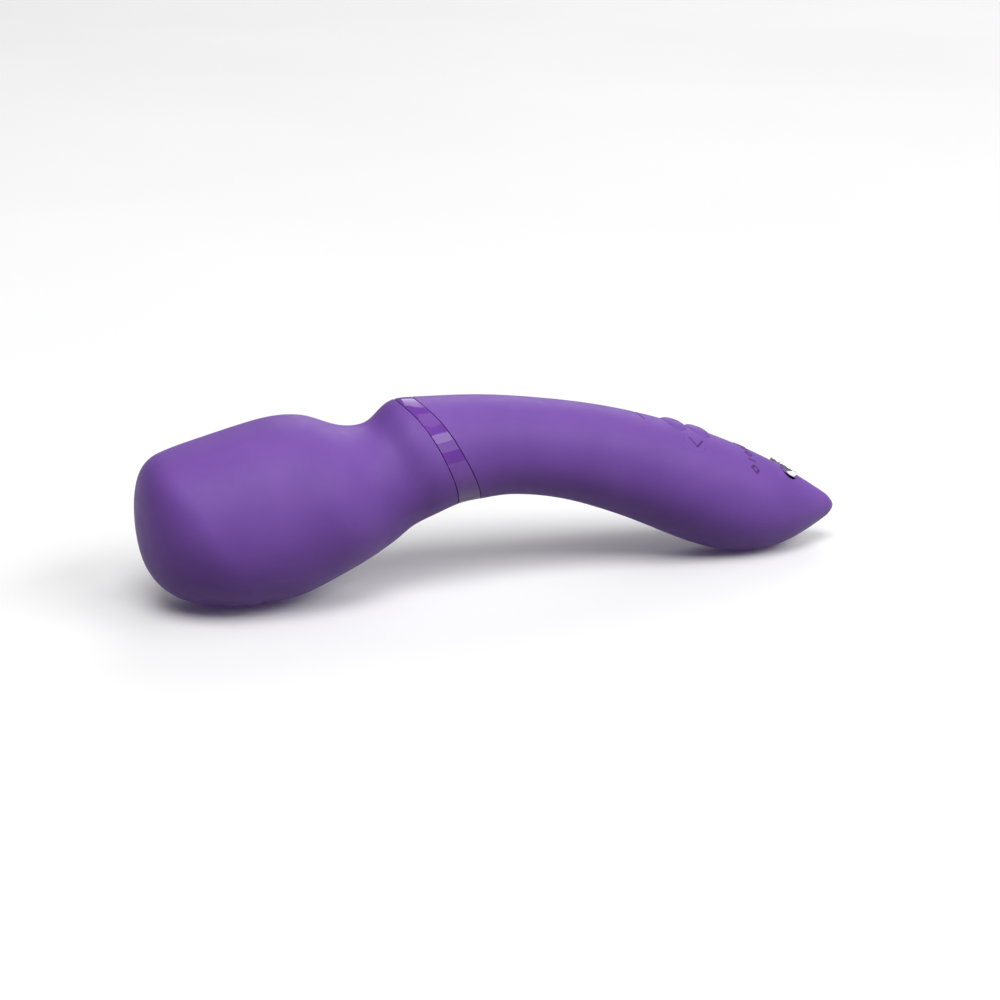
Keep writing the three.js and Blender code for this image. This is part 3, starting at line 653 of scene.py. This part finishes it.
class SlopedFrame:
    """A flat frame that touches the body's top at a place, with its x axis towards the tail
    and tipped down by a pitch in degrees."""

    def __init__(self, place, pitch):
        angle = math.radians(pitch)
        self.place = place
        self.origin = body_point(place, 0.0)
        self.x = np.array([math.cos(angle), 0, -math.sin(angle)])
        self.z = np.array([math.sin(angle), 0, math.cos(angle)])

    def flat(self, points):
        """The x, y and z of points in this frame."""
        from_origin = points - self.origin
        return from_origin @ self.x, from_origin[..., 1], from_origin @ self.z

    def lift(self, x, y, z):
        """Points of the body's space from x, y and z in this frame."""
        x, y, z = np.broadcast_arrays(*(np.asarray(v, float) for v in (x, y, z)))
        return (
            self.origin
            + x[..., None] * self.x
            + y[..., None] * np.array([0.0, 1, 0])
            + z[..., None] * self.z
        )

    def surface(self, x, y):
        """How high the skin's outer surface is over x, y."""
        x, y = np.broadcast_arrays(np.asarray(x, float), np.asarray(y, float))
        place = np.full(x.shape, float(self.place)) + x
        for _ in range(24):
            turn = np.arcsin(np.clip(y / section(place)[2], -1, 1))
            height_x, _, height = self.flat(body_point(place, turn))
            place = place + (x - height_x)
        return height


CONTROLS = SlopedFrame(188, 20.5)
CONTACTS = SlopedFrame(228.4, 31)
MARKS = SlopedFrame(210.1, 0)
FAR_SIDE = -12  # points lower than this in a frame are on the body's underside

KEY_SEAM = 0.03
KEY_DEPTH = 1.2
STEM_RADIUS = 1.3
STEM_LOW = -6.75
WALL_TOP = 0.07  # how far the skin is rounded at the edge of an opening
WALL_MARGIN = WALL_TOP + 0.03  # the grid of the skin is cut this far outside an opening
DISC = {"radius": 3.25, "proud": 0.8, "depth": 1.2, "spacing": 8, "seam": 0.08, "bevel": 0.18}
PIN_RADIUS = 1.1
PIN_LOW = -9.3

KEYS = {
    "power_key": {"x": -4.7, "y": 0, "half_x": 4.3, "half_y": 6, "stem_y": 0},
    "wave_key": {"x": 4.7, "y": 0, "half_x": 4.3, "half_y": 6, "stem_y": 0},
    "left_key": {"x": 0, "y": 9.7, "half_x": 4.4, "half_y": 3.3, "stem_y": 7.4},
    "right_key": {"x": 0, "y": -9.7, "half_x": 4.4, "half_y": 3.3, "stem_y": -7.4},
    "front_key": {"x": -17.6, "y": 0, "half_x": 4, "half_y": 6, "stem_y": 0},
}


class Opening:
    """An oval opening in the handle's skin, square to its frame."""

    def __init__(self, home, x, y, half_x, half_y):
        self.home, self.x, self.y = home, x, y
        self.half_x, self.half_y = half_x, half_y

    def outside(self, points):
        """How far points are outside the opening's edge, in millimetres: negative inside it.

        Each point lies on one oval that is `out` larger all round than the opening, and its
        `out` is found by Newton's steps."""
        least, far = 0.2, 60
        x, y, z = self.home.flat(points)
        x, y = np.abs(x - self.x), np.abs(y - self.y)
        narrow = min(self.half_x, self.half_y)
        out = (np.hypot(x / self.half_x, y / self.half_y) - 1) * narrow
        for _ in range(8):
            wide = np.maximum(self.half_x + out, least)
            long = np.maximum(self.half_y + out, least)
            error = (x / wide) ** 2 + (y / long) ** 2 - 1
            slope = -2 * (x**2 / wide**3 + y**2 / long**3)
            out = np.clip(out - error / np.minimum(slope, -1e-6), least - narrow, far)
        return np.where(z > FAR_SIDE, out, far)

    def angle(self, points, out):
        """Where points that are `out` from the edge lie round the oval."""
        x, y, _ = self.home.flat(points)
        return np.arctan2((y - self.y) / (self.half_y + out), (x - self.x) / (self.half_x + out))

    def edge(self, angle, out, drop):
        """Points `out` from the edge, `drop` under the skin's outer surface."""
        x = self.x + (self.half_x + out) * np.cos(angle)
        y = self.y + (self.half_y + out) * np.sin(angle)
        return self.home.lift(x, y, self.home.surface(x, y) - drop)


key_openings = [
    Opening(CONTROLS, key["x"], key["y"], key["half_x"] + KEY_SEAM, key["half_y"] + KEY_SEAM)
    for key in KEYS.values()
]
disc_hole = DISC["radius"] + DISC["seam"]
disc_openings = [
    Opening(CONTACTS, 0, side * DISC["spacing"] / 2, disc_hole, disc_hole) for side in (1, -1)
]
openings = key_openings + disc_openings

# ------------------------------------------------------------------ engraved marks


NO_LINE = 9.0  # a distance past every line of a mark


def smooth(value):
    """An eased step from 0 to 1."""
    value = np.clip(value, 0, 1)
    return value * value * (3 - 2 * value)


def bar(x, y, ax, ay, bx, by):
    """Distance from points to a line from a to b."""
    dx, dy = bx - ax, by - ay
    t = np.clip(((x - ax) * dx + (y - ay) * dy) / (dx * dx + dy * dy), 0, 1)
    return np.hypot(x - ax - t * dx, y - ay - t * dy)


def power_glyph(x, y):
    """A ring open at the top, with an upright bar in its gap. Its top points to the head."""
    radius = 1.25
    angle = np.arctan2(y, -x)
    open_half = math.radians(38)
    ring = np.abs(np.hypot(x, y) - radius)
    end_x, end_y = -radius * math.cos(open_half), radius * math.sin(open_half)
    ends = np.minimum(np.hypot(x - end_x, y - end_y), np.hypot(x - end_x, y + end_y))
    ring = np.where(np.abs(angle) < open_half, ends, ring)
    return np.minimum(ring, bar(x, y, -1.75, 0, -0.25, 0))


def wave_glyph(x, y):
    """One and a half waves across the key."""
    length, height = 3.4, 0.62
    near = np.full(np.shape(x), NO_LINE)
    across = np.linspace(-length / 2, length / 2, 19)
    wave = height * np.sin(across / length * 3 * math.pi)
    for i in range(len(across) - 1):
        near = np.minimum(near, bar(x, y, wave[i], across[i], wave[i + 1], across[i + 1]))
    return near


def front_chevron(x, y):
    """An open arrow that points to the head."""
    legs = [bar(x, y, -2.2, 0, -0.3, side * 4.3) for side in (1, -1)]
    return np.minimum(*legs)


def side_chevron(side):
    """An open arrow that points to the left for side 1 and to the right for side -1."""

    def distance(x, y):
        legs = [bar(x, y, 0.8, side * 1.5, 0.8 + way * 2.6, side * -1.2) for way in (1, -1)]
        return np.minimum(*legs)

    return distance


GLYPHS = {
    "power_key": power_glyph,
    "wave_key": wave_glyph,
    "left_key": side_chevron(1),
    "right_key": side_chevron(-1),
    "front_key": front_chevron,
}
LINE_HALF_WIDTH = 0.3
LINE_EASE = 0.16
LINE_DEPTH = 0.24


def engraving(distance):
    """How far a line is cut in at a distance from its middle, from 0 to 1."""
    return 1 - smooth((distance - LINE_HALF_WIDTH + LINE_EASE / 2) / LINE_EASE)


MARK_COUNT = 9
MARK_PITCH = 2.9
MARK_REACH = 3  # no mark reaches further from the row's middle, along the handle


def index_marks(x, y):
    """A row of plain marks across the handle: bars and lozenges in turn."""
    near = np.full(np.shape(x), NO_LINE)
    for i in range(MARK_COUNT):
        middle = (i - (MARK_COUNT - 1) / 2) * MARK_PITCH
        from_middle = np.abs(y - middle)
        if i % 2:
            mark = bar(x, y, -1.1, middle, 1.1, middle)
        else:
            mark = np.abs((np.abs(x) / 1.3 + from_middle / 1.05) - 1) * 0.8
        near = np.minimum(near, mark)
    return near


def engraved_marks(points):
    """How deep the row of marks is cut at each point of the skin, from 0 to 1."""
    x, y, z = MARKS.flat(points)
    in_row = (z > FAR_SIDE) & (np.abs(x) <= MARK_REACH)
    return np.where(in_row, engraving(index_marks(x, y)), 0.0)


# ------------------------------------------------------------------ the handle's skin


TAIL_STEPS = 22
FINE_TURN, FINE_TURN_STEP = 51, 0.75  # degrees to each side of the top
COARSE_TURNS = 50
BISECTIONS = 26


def handle_rows():
    """(place, inset) of the rows: fine where keys, marks and discs are, and coarse between."""
    start = RING_REAR + SEAM
    stops = [
        (start + SKIN_EDGE + 0.4, 1.2),
        (CONTROLS.place - 23, 0.3),
        (CONTROLS.place, 0.1),
        (CONTROLS.place + 1.2, 0.3),
        (CONTROLS.place + 11.2, 1.0),
        (MARKS.place - 2.5, 0.16),
        (MARKS.place + 4.5, 0.8),
        (CONTACTS.place - 4.2, 0.3),
        (CONTACTS.place + 5.4, 1.0),
        (HANDLE_INNER_END, 0.5),
        (BODY_LENGTH - TAIL_LENGTH, None),
    ]
    rows = edge_round(start, SKIN_EDGE, -1)
    for (here, step), (ahead, _) in zip(stops, stops[1:]):
        rows += run(here, ahead, step)[:-1]
    for i in range(TAIL_STEPS):
        from_tip = 1 - math.sin(math.pi / 2 * i / TAIL_STEPS)
        rows.append((BODY_LENGTH - TAIL_LENGTH * from_tip, 0))
    return rows


def handle_turns():
    """Turns round the body, fine over the top."""
    fine = np.radians(np.arange(-FINE_TURN, FINE_TURN + 0.01, FINE_TURN_STEP))
    coarse = np.linspace(fine[-1], 2 * math.pi + fine[0], COARSE_TURNS + 2)[1:-1]
    return np.concatenate([fine, coarse])


def tip_point(place):
    """The middle of the body at a place."""
    x, z = section(np.float64(place))[0]
    return np.array([x, 0, z])


def wall_points(which, rim):
    """The points down an opening's wall, under each point where its margin cuts the grid."""
    bends = np.linspace(0, math.pi / 2, 5)
    levels = [(WALL_TOP * (1 - math.sin(b)), WALL_TOP * (1 - math.cos(b))) for b in bends]
    levels += [(0, WALL_TOP + 0.15), (0, HANDLE_SILICONE - 0.25)]
    points = np.zeros((len(which), len(levels), 3))
    for k, opening in enumerate(openings):
        here = which == k
        angle = opening.angle(rim[here], WALL_MARGIN)
        for level, (away, drop) in enumerate(levels):
            points[here, level] = opening.edge(angle, away, drop)
    return points


class HandleSkin:
    """The handle's skin: a grid of rows and turns, outside and inside, cut by the openings.

    A cell of the grid that crosses an opening's margin is clipped there, and a wall joins the
    clipped outside to the clipped inside.
    """

    def __init__(self):
        rows = np.array(handle_rows())
        self.places, self.insets = rows[:, 0], rows[:, 1]
        self.turns = handle_turns()
        grid = np.meshgrid(self.places, self.turns, indexing="ij")
        outer = body_point(*grid, self.insets[:, None])
        out = np.stack([opening.outside(outer) - WALL_MARGIN for opening in openings])
        self.nearest, self.out = out.argmin(0), out.min(0)
        # the cut both sinks the marks and sets their painted shade
        self.cut = engraved_marks(outer)
        depth = self.cut * LINE_DEPTH
        self.grid = {
            "outer": outer - body_normal(*grid) * depth[..., None],
            "inner": body_point(*grid, HANDLE_SILICONE),
        }
        self.edges = self.crossed_edges()
        which, place, turn = self.crossings()
        self.rims = {
            "outer": body_point(place, turn),
            "inner": body_point(place, turn, HANDLE_SILICONE),
        }
        self.walls = wall_points(which, self.rims["outer"])
        self.points, self.engraving_shade, self.numbers = [], [], {}

    def crossed_edges(self):
        """A number for each grid edge that crosses a margin. An edge is its first corner and
        its step along the rows and the turns."""
        edges = {}
        for step_i, step_j in ((0, 1), (1, 0)):
            first = self.out[: len(self.places) - step_i]
            second = np.roll(self.out, -step_j, axis=1)[step_i:]
            for i, j in zip(*np.nonzero((first > 0) != (second > 0))):
                edges[(i, j, step_i, step_j)] = len(edges)
        return edges

    def crossings(self):
        """The opening, place and turn of each crossing, found by halving along its edge."""
        corners = np.array(list(self.edges))
        start_i, start_j = corners[:, 0], corners[:, 1]
        end_i = start_i + corners[:, 2]
        end_j = (start_j + corners[:, 3]) % len(self.turns)
        starts_inside = self.out[start_i, start_j] <= 0
        nearest = self.nearest
        which = np.where(starts_inside, nearest[start_i, start_j], nearest[end_i, end_j])
        place, turn = self.places[start_i], self.turns[start_j]
        place_step, turn_step = self.places[end_i] - place, self.turns[end_j] - turn
        each = np.arange(len(corners))
        low, high = np.zeros(len(corners)), np.ones(len(corners))
        for _ in range(BISECTIONS):
            middle = (low + high) / 2
            at = body_point(place + place_step * middle, turn + turn_step * middle)
            out = np.stack([opening.outside(at) for opening in openings])[which, each]
            move_low = (out - WALL_MARGIN <= 0) == starts_inside
            low = np.where(move_low, middle, low)
            high = np.where(move_low, high, middle)
        middle = (low + high) / 2
        return which, place + place_step * middle, turn + turn_step * middle

    def number(self, key, position, mark=0.0):
        """The number of the point that has this key, which is made once."""
        if key not in self.numbers:
            self.numbers[key] = len(self.points)
            self.points.append(position)
            self.engraving_shade.append(mark)
        return self.numbers[key]

    def grid_number(self, side, i, j):
        mark = self.cut[i, j] if side == "outer" else 0.0
        return self.number((side, i, j), self.grid[side][i, j], mark)

    def row_numbers(self, side, i):
        return [self.grid_number(side, i, j) for j in range(len(self.turns))]

    def rim_number(self, side, edge):
        return self.number((side, edge), self.rims[side][self.edges[edge]])

    def wall_numbers(self, edge):
        """The points from the outside to the inside, down the wall at a crossed edge."""
        wall = self.walls[self.edges[edge]]
        between = [self.number(("wall", edge, k), point) for k, point in enumerate(wall)]
        return [self.rim_number("outer", edge), *between, self.rim_number("inner", edge)]

    def cell(self, side, i, j):
        """The part of a grid cell that is outside every opening, and the edges it is cut at,
        each with whether the outline leaves the skin there."""
        right = (j + 1) % len(self.turns)
        corners = [(i, j), (i, right), (i + 1, right), (i + 1, j)]
        edges = [(i, j, 0, 1), (i, right, 1, 0), (i + 1, j, 0, 1), (i, j, 1, 0)]
        polygon, cut_edges = [], []
        for (corner, ahead), edge in zip(closed_pairs(corners), edges):
            if self.out[corner] > 0:
                polygon.append(self.grid_number(side, *corner))
            if (self.out[corner] > 0) != (self.out[ahead] > 0):
                polygon.append(self.rim_number(side, edge))
                cut_edges.append((edge, self.out[corner] > 0))
        return polygon, cut_edges

    def wall_faces(self, cut_edges):
        """The piece of wall under a cell that is cut at two edges."""
        leaving = next(edge for edge, leaves in cut_edges if leaves)
        entering = next(edge for edge, leaves in cut_edges if not leaves)
        a, b = self.wall_numbers(leaving), self.wall_numbers(entering)
        return [(a[k], b[k], b[k + 1], a[k + 1]) for k in range(len(a) - 1)]

    def faces(self):
        last_row = len(self.places) - 1
        start_row = int(np.argmax(self.insets == 0))
        end_row = int(np.argmin(np.abs(self.places - HANDLE_INNER_END)))
        faces = []
        for i in range(last_row):
            for j in range(len(self.turns)):
                polygon, cut_edges = self.cell("outer", i, j)
                if len(polygon) > 2:
                    faces.append(polygon[::-1])
                if not start_row <= i < end_row:
                    continue
                inner_polygon, _ = self.cell("inner", i, j)
                if len(inner_polygon) > 2:
                    faces.append(inner_polygon)
                if len(cut_edges) == 2:
                    faces += self.wall_faces(cut_edges)

        rim = strip_faces(self.row_numbers("outer", 0), self.row_numbers("inner", start_row))
        inner_end = self.row_numbers("inner", end_row)
        inner_tip = self.number("inner_tip", tip_point(HANDLE_INNER_END))
        outer_end = self.row_numbers("outer", last_row)
        tip = self.number("tip", tip_point(BODY_LENGTH))
        return faces + rim + fan_faces(inner_end, inner_tip) + flipped(fan_faces(outer_end, tip))


def mark_attribute(piece, values):
    """Stores how deep each point is engraved, as the mask for the painted shade in the lines."""
    attribute = piece.data.attributes.new("engraving_shade", "FLOAT", "POINT")
    attribute.data.foreach_set("value", np.asarray(values, np.float32))


def build_handle():
    skin = HandleSkin()
    faces = skin.faces()
    piece = mesh_piece("handle_skin", skin.points, faces, FINISHES["silicone_engraving_shade"])
    mark_attribute(piece, skin.engraving_shade)
    return piece


handle_skin = build_handle()
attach(handle_skin, "handle")
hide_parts("handle_sleeve")

# ------------------------------------------------------------------ the keys

KEY_SIDES = 224
KEY_STEP = 0.11
KEY_EDGE = 0.06
KEY_EDGE_ROWS = (1, 0.62, 0.3, 0.08, 0)  # shares of KEY_EDGE inside the outline
KEY_SKIRT_ROUND = (0.06, 0.12)  # inwards and upwards at the foot of a key's skirt
STEM_ROUND = ((0, 0.3), (0.08, 0.08), (0.3, 0))  # inwards and upwards at the stem's foot
RAISED_KEYS = ("power_key", "wave_key")
CREST = 0.95
CREST_POWER = 5.5  # how boxy the two raised keys are at their sides
TAILWARD_EASE, HEADWARD_EASE = 3.1, 1.5  # how much softer they are towards tail and head


def key_rise(name, x_share, y_share):
    """How proud a key stands. The two ovals are steep at the head side and at the sides, and
    fall gently to the tail."""
    if name not in RAISED_KEYS:
        return np.zeros(np.shape(x_share))
    radius = np.minimum(np.hypot(x_share, y_share), 1)
    angle = np.arctan2(y_share, x_share)
    tailward = np.clip(np.cos(angle), 0, 1) ** 2
    headward = np.clip(-np.cos(angle), 0, 1) ** 2
    power = CREST_POWER - TAILWARD_EASE * tailward - HEADWARD_EASE * headward
    return CREST * (1 - radius**power)


def weld(piece):
    """Joins points that lie on each other, as along the middle line of a key."""
    form = bmesh.new()
    form.from_mesh(piece.data)
    bmesh.ops.remove_doubles(form, verts=form.verts, dist=0.002 * MM)
    bmesh.ops.dissolve_degenerate(form, edges=form.edges, dist=0.001 * MM)
    bmesh.ops.recalc_face_normals(form, faces=form.faces)
    form.to_mesh(piece.data)
    form.free()


def build_key(name, key):
    """A key's cap, with its skirt down the opening and its stem down to the switch."""
    centre_x, stem_centre = key["x"], key["stem_y"]
    half_x, half_y = key["half_x"], key["half_y"]
    angles = even_turns(KEY_SIDES)
    across, along = np.cos(angles), np.sin(angles)
    reach = min(half_x, half_y)
    top_outs = np.linspace(-reach, -KEY_EDGE, round(reach / KEY_STEP))[:-1]
    outs = np.concatenate([top_outs, [-KEY_EDGE * share for share in KEY_EDGE_ROWS]])
    points, marks, loops = [], [], []

    def add_loop(x, y, z, mark):
        loops.append(list(range(len(points), len(points) + KEY_SIDES)))
        points.extend(CONTROLS.lift(x, y, z))
        marks.extend(np.broadcast_to(mark, np.shape(angles)))

    for out in outs:
        from_x, from_y = (half_x + out) * across, (half_y + out) * along
        x, y = centre_x + from_x, key["y"] + from_y
        rise = key_rise(name, from_x / half_x, from_y / half_y)
        cut = engraving(GLYPHS[name](from_x, from_y))
        inside_edge = max(0.0, KEY_EDGE + out)
        rounding = KEY_EDGE - math.sqrt(max(0.0, KEY_EDGE**2 - inside_edge**2))
        add_loop(x, y, CONTROLS.surface(x, y) + rise - cut * LINE_DEPTH - rounding, cut)

    edge_x, edge_y = centre_x + half_x * across, key["y"] + half_y * along
    edge_z = CONTROLS.surface(edge_x, edge_y)
    foot_in, foot_up = KEY_SKIRT_ROUND
    for drop, shrink in ((KEY_EDGE + foot_up, 0), (KEY_DEPTH - foot_up, 0), (KEY_DEPTH, foot_in)):
        add_loop(edge_x - shrink * across, edge_y - shrink * along, edge_z - drop, 0)

    stem_x, stem_y = centre_x + STEM_RADIUS * across, stem_centre + STEM_RADIUS * along
    add_loop(stem_x, stem_y, CONTROLS.surface(stem_x, stem_y) - KEY_DEPTH, 0)
    for shrink, up in STEM_ROUND:
        radius = STEM_RADIUS - shrink
        add_loop(centre_x + radius * across, stem_centre + radius * along, STEM_LOW + up, 0)

    tip = len(points)
    points.append(CONTROLS.lift(centre_x, stem_centre, STEM_LOW))
    marks.append(0)
    faces = stack_faces(loops, tip)
    piece = mesh_piece(f"{name}_cap", points, faces, FINISHES["silicone_engraving_shade"])
    mark_attribute(piece, marks)
    weld(piece)
    return piece


for key_name, key_sizes in KEYS.items():
    cap = build_key(key_name, key_sizes)
    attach(cap, key_name)
    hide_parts(key_name)

# ------------------------------------------------------------------ the charging discs


DISC_SIDES = 96


def build_disc(side, name):
    """A charging disc with the pin under it. Its profile is (radius, height) from the middle
    of the top down to the pin's foot."""
    radius, proud, depth, bevel = (DISC[size] for size in ("radius", "proud", "depth", "bevel"))
    angles = even_turns(DISC_SIDES)
    profile = [(r, proud) for r in (0.6, 1.2, 1.8, 2.4, radius - bevel - 0.15)]
    for bend in np.linspace(0, math.pi / 2, 5):
        inwards, down = bevel * (1 - math.sin(bend)), bevel * (1 - math.cos(bend))
        profile.append((radius - inwards, proud - down))
    profile += [(radius, 0.3), (radius, 0.12 - depth), (radius - 0.12, -depth)]
    profile += [(PIN_RADIUS + 0.25, -depth), (PIN_RADIUS, -depth - 0.25)]
    profile += [(PIN_RADIUS, PIN_LOW + 0.25), (PIN_RADIUS - 0.2, PIN_LOW)]
    y = side * DISC["spacing"] / 2
    points = [CONTACTS.lift(0, y, proud)]
    loops = []
    for r, z in profile:
        loops.append(list(range(len(points), len(points) + DISC_SIDES)))
        points.extend(CONTACTS.lift(r * np.cos(angles), y + r * np.sin(angles), z))
    tip = len(points)
    points.append(CONTACTS.lift(0, y, PIN_LOW))
    faces = fan_faces(loops[0], 0) + stack_faces(loops, tip)
    piece = mesh_piece(name, points, faces, FINISHES["chrome"])
    weld(piece)
    return piece


for side, word in ((1, "left"), (-1, "right")):
    disc = build_disc(side, f"charge_disc_{word}")
    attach(disc, "handle")
    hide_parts(f"charge_contact_{word}")

# ------------------------------------------------------------------ camera, light and floor

FLOOR_HALF = 15
FLOOR_GAP = 0.0001
ROOM_LIGHT = 0.175  # how bright the room is all round
BACKDROP_LIGHT = 0.97  # how bright it is where the camera sees it

box_centre = (cad_low + cad_high) / 2
CAMERA = {"azimuth": -21.12, "elevation": 17.67, "roll": 1.27, "distance": 0.7694, "lens": 85}
AIM = box_centre + Vector((-1.5, 0, -5.6)) * MM


def direction(azimuth, elevation):
    """From the object towards a place: azimuth 0 is in front of it, and 90 at its tail end."""
    a, e = math.radians(azimuth), math.radians(elevation)
    return Vector((math.sin(a) * math.cos(e), -math.cos(a) * math.cos(e), math.sin(e)))


def add_camera():
    """A long lens that looks at AIM, turned a little about its own axis."""
    back = direction(CAMERA["azimuth"], CAMERA["elevation"])
    a, roll = math.radians(CAMERA["azimuth"]), math.radians(CAMERA["roll"])
    level = Vector((math.cos(a), math.sin(a), 0))
    upright = back.cross(level)
    right = level * math.cos(roll) + upright * math.sin(roll)
    up = upright * math.cos(roll) - level * math.sin(roll)
    data = bpy.data.cameras.new("camera")
    data.lens = CAMERA["lens"]
    data.sensor_width = 36
    data.clip_start, data.clip_end = 0.01, 60
    camera = bpy.data.objects.new("camera", data)
    bpy.context.scene.collection.objects.link(camera)
    place = AIM + back * CAMERA["distance"]
    rows = zip(right, up, back, place)
    camera.matrix_world = Matrix([*[list(row) for row in rows], [0, 0, 0, 1]])
    bpy.context.scene.camera = camera


def softbox(name, azimuth, elevation, distance, wide, high, radiance):
    """A rectangular light that faces the object, given by how bright its surface is."""
    data = bpy.data.lights.new(name, "AREA")
    data.shape = "RECTANGLE"
    data.size, data.size_y = wide, high
    data.energy = radiance * math.pi * wide * high
    light = bpy.data.objects.new(name, data)
    bpy.context.scene.collection.objects.link(light)
    towards = direction(azimuth, elevation)
    light.location = box_centre + towards * distance
    light.rotation_mode = "QUATERNION"
    light.rotation_quaternion = towards.to_track_quat("Z", "Y")


def add_world():
    """A dim even room, which the camera sees as a white backdrop."""
    world = bpy.data.worlds.new("studio")
    world.use_nodes = True
    nodes, links = world.node_tree.nodes, world.node_tree.links
    shade = nodes["Background"]
    seen = nodes.new("ShaderNodeBackground")
    for background, strength in ((shade, ROOM_LIGHT), (seen, BACKDROP_LIGHT)):
        background.inputs["Color"].default_value = (1, 1, 1, 1)
        background.inputs["Strength"].default_value = strength
    path = nodes.new("ShaderNodeLightPath")
    mix = nodes.new("ShaderNodeMixShader")
    links.new(path.outputs["Is Camera Ray"], mix.inputs["Fac"])
    links.new(shade.outputs["Background"], mix.inputs[1])
    links.new(seen.outputs["Background"], mix.inputs[2])
    links.new(mix.outputs["Shader"], nodes["World Output"].inputs["Surface"])
    bpy.context.scene.world = world


def add_floor():
    """A pale floor that takes the object's shadow and throws no light back up at it."""
    finish = Finish("floor", (0.9, 0.9, 0.9), 0.9, Specular_IOR_Level=0.1)
    shades = (0.3, (0.94, 0.94, 0.94)), (0.7, (0.97, 0.97, 0.97))
    finish.colour(finish.ramp(finish.noise(3, 2), *shades))
    ways = ((-1, -1), (1, -1), (1, 1), (-1, 1))
    level = cad_low.z - FLOOR_GAP
    corners = [(x * FLOOR_HALF, y * FLOOR_HALF, level) for x, y in ways]
    mesh = bpy.data.meshes.new("floor")
    mesh.from_pydata(corners, [], [(0, 1, 2, 3)])
    mesh.materials.append(finish.material)
    floor = bpy.data.objects.new("floor", mesh)
    bpy.context.scene.collection.objects.link(floor)
    floor.visible_diffuse = False


add_camera()
softbox("key_softbox", -24, 62, 4.0, 2.4, 2.4, 5.6)
softbox("front_softbox", 42, 42, 4.0, 3.4, 1.0, 5.2)
softbox("low_softbox", 42, 27, 4.0, 3.4, 1.0, 2.0)
softbox("tail_softbox", 95, 62, 4.0, 1.8, 1.8, 1.2)
softbox("rear_softbox", 152, 33, 4.0, 2.2, 2.6, 2.25)
add_world()
add_floor()
bpy.context.scene.view_settings.view_transform = "Standard"
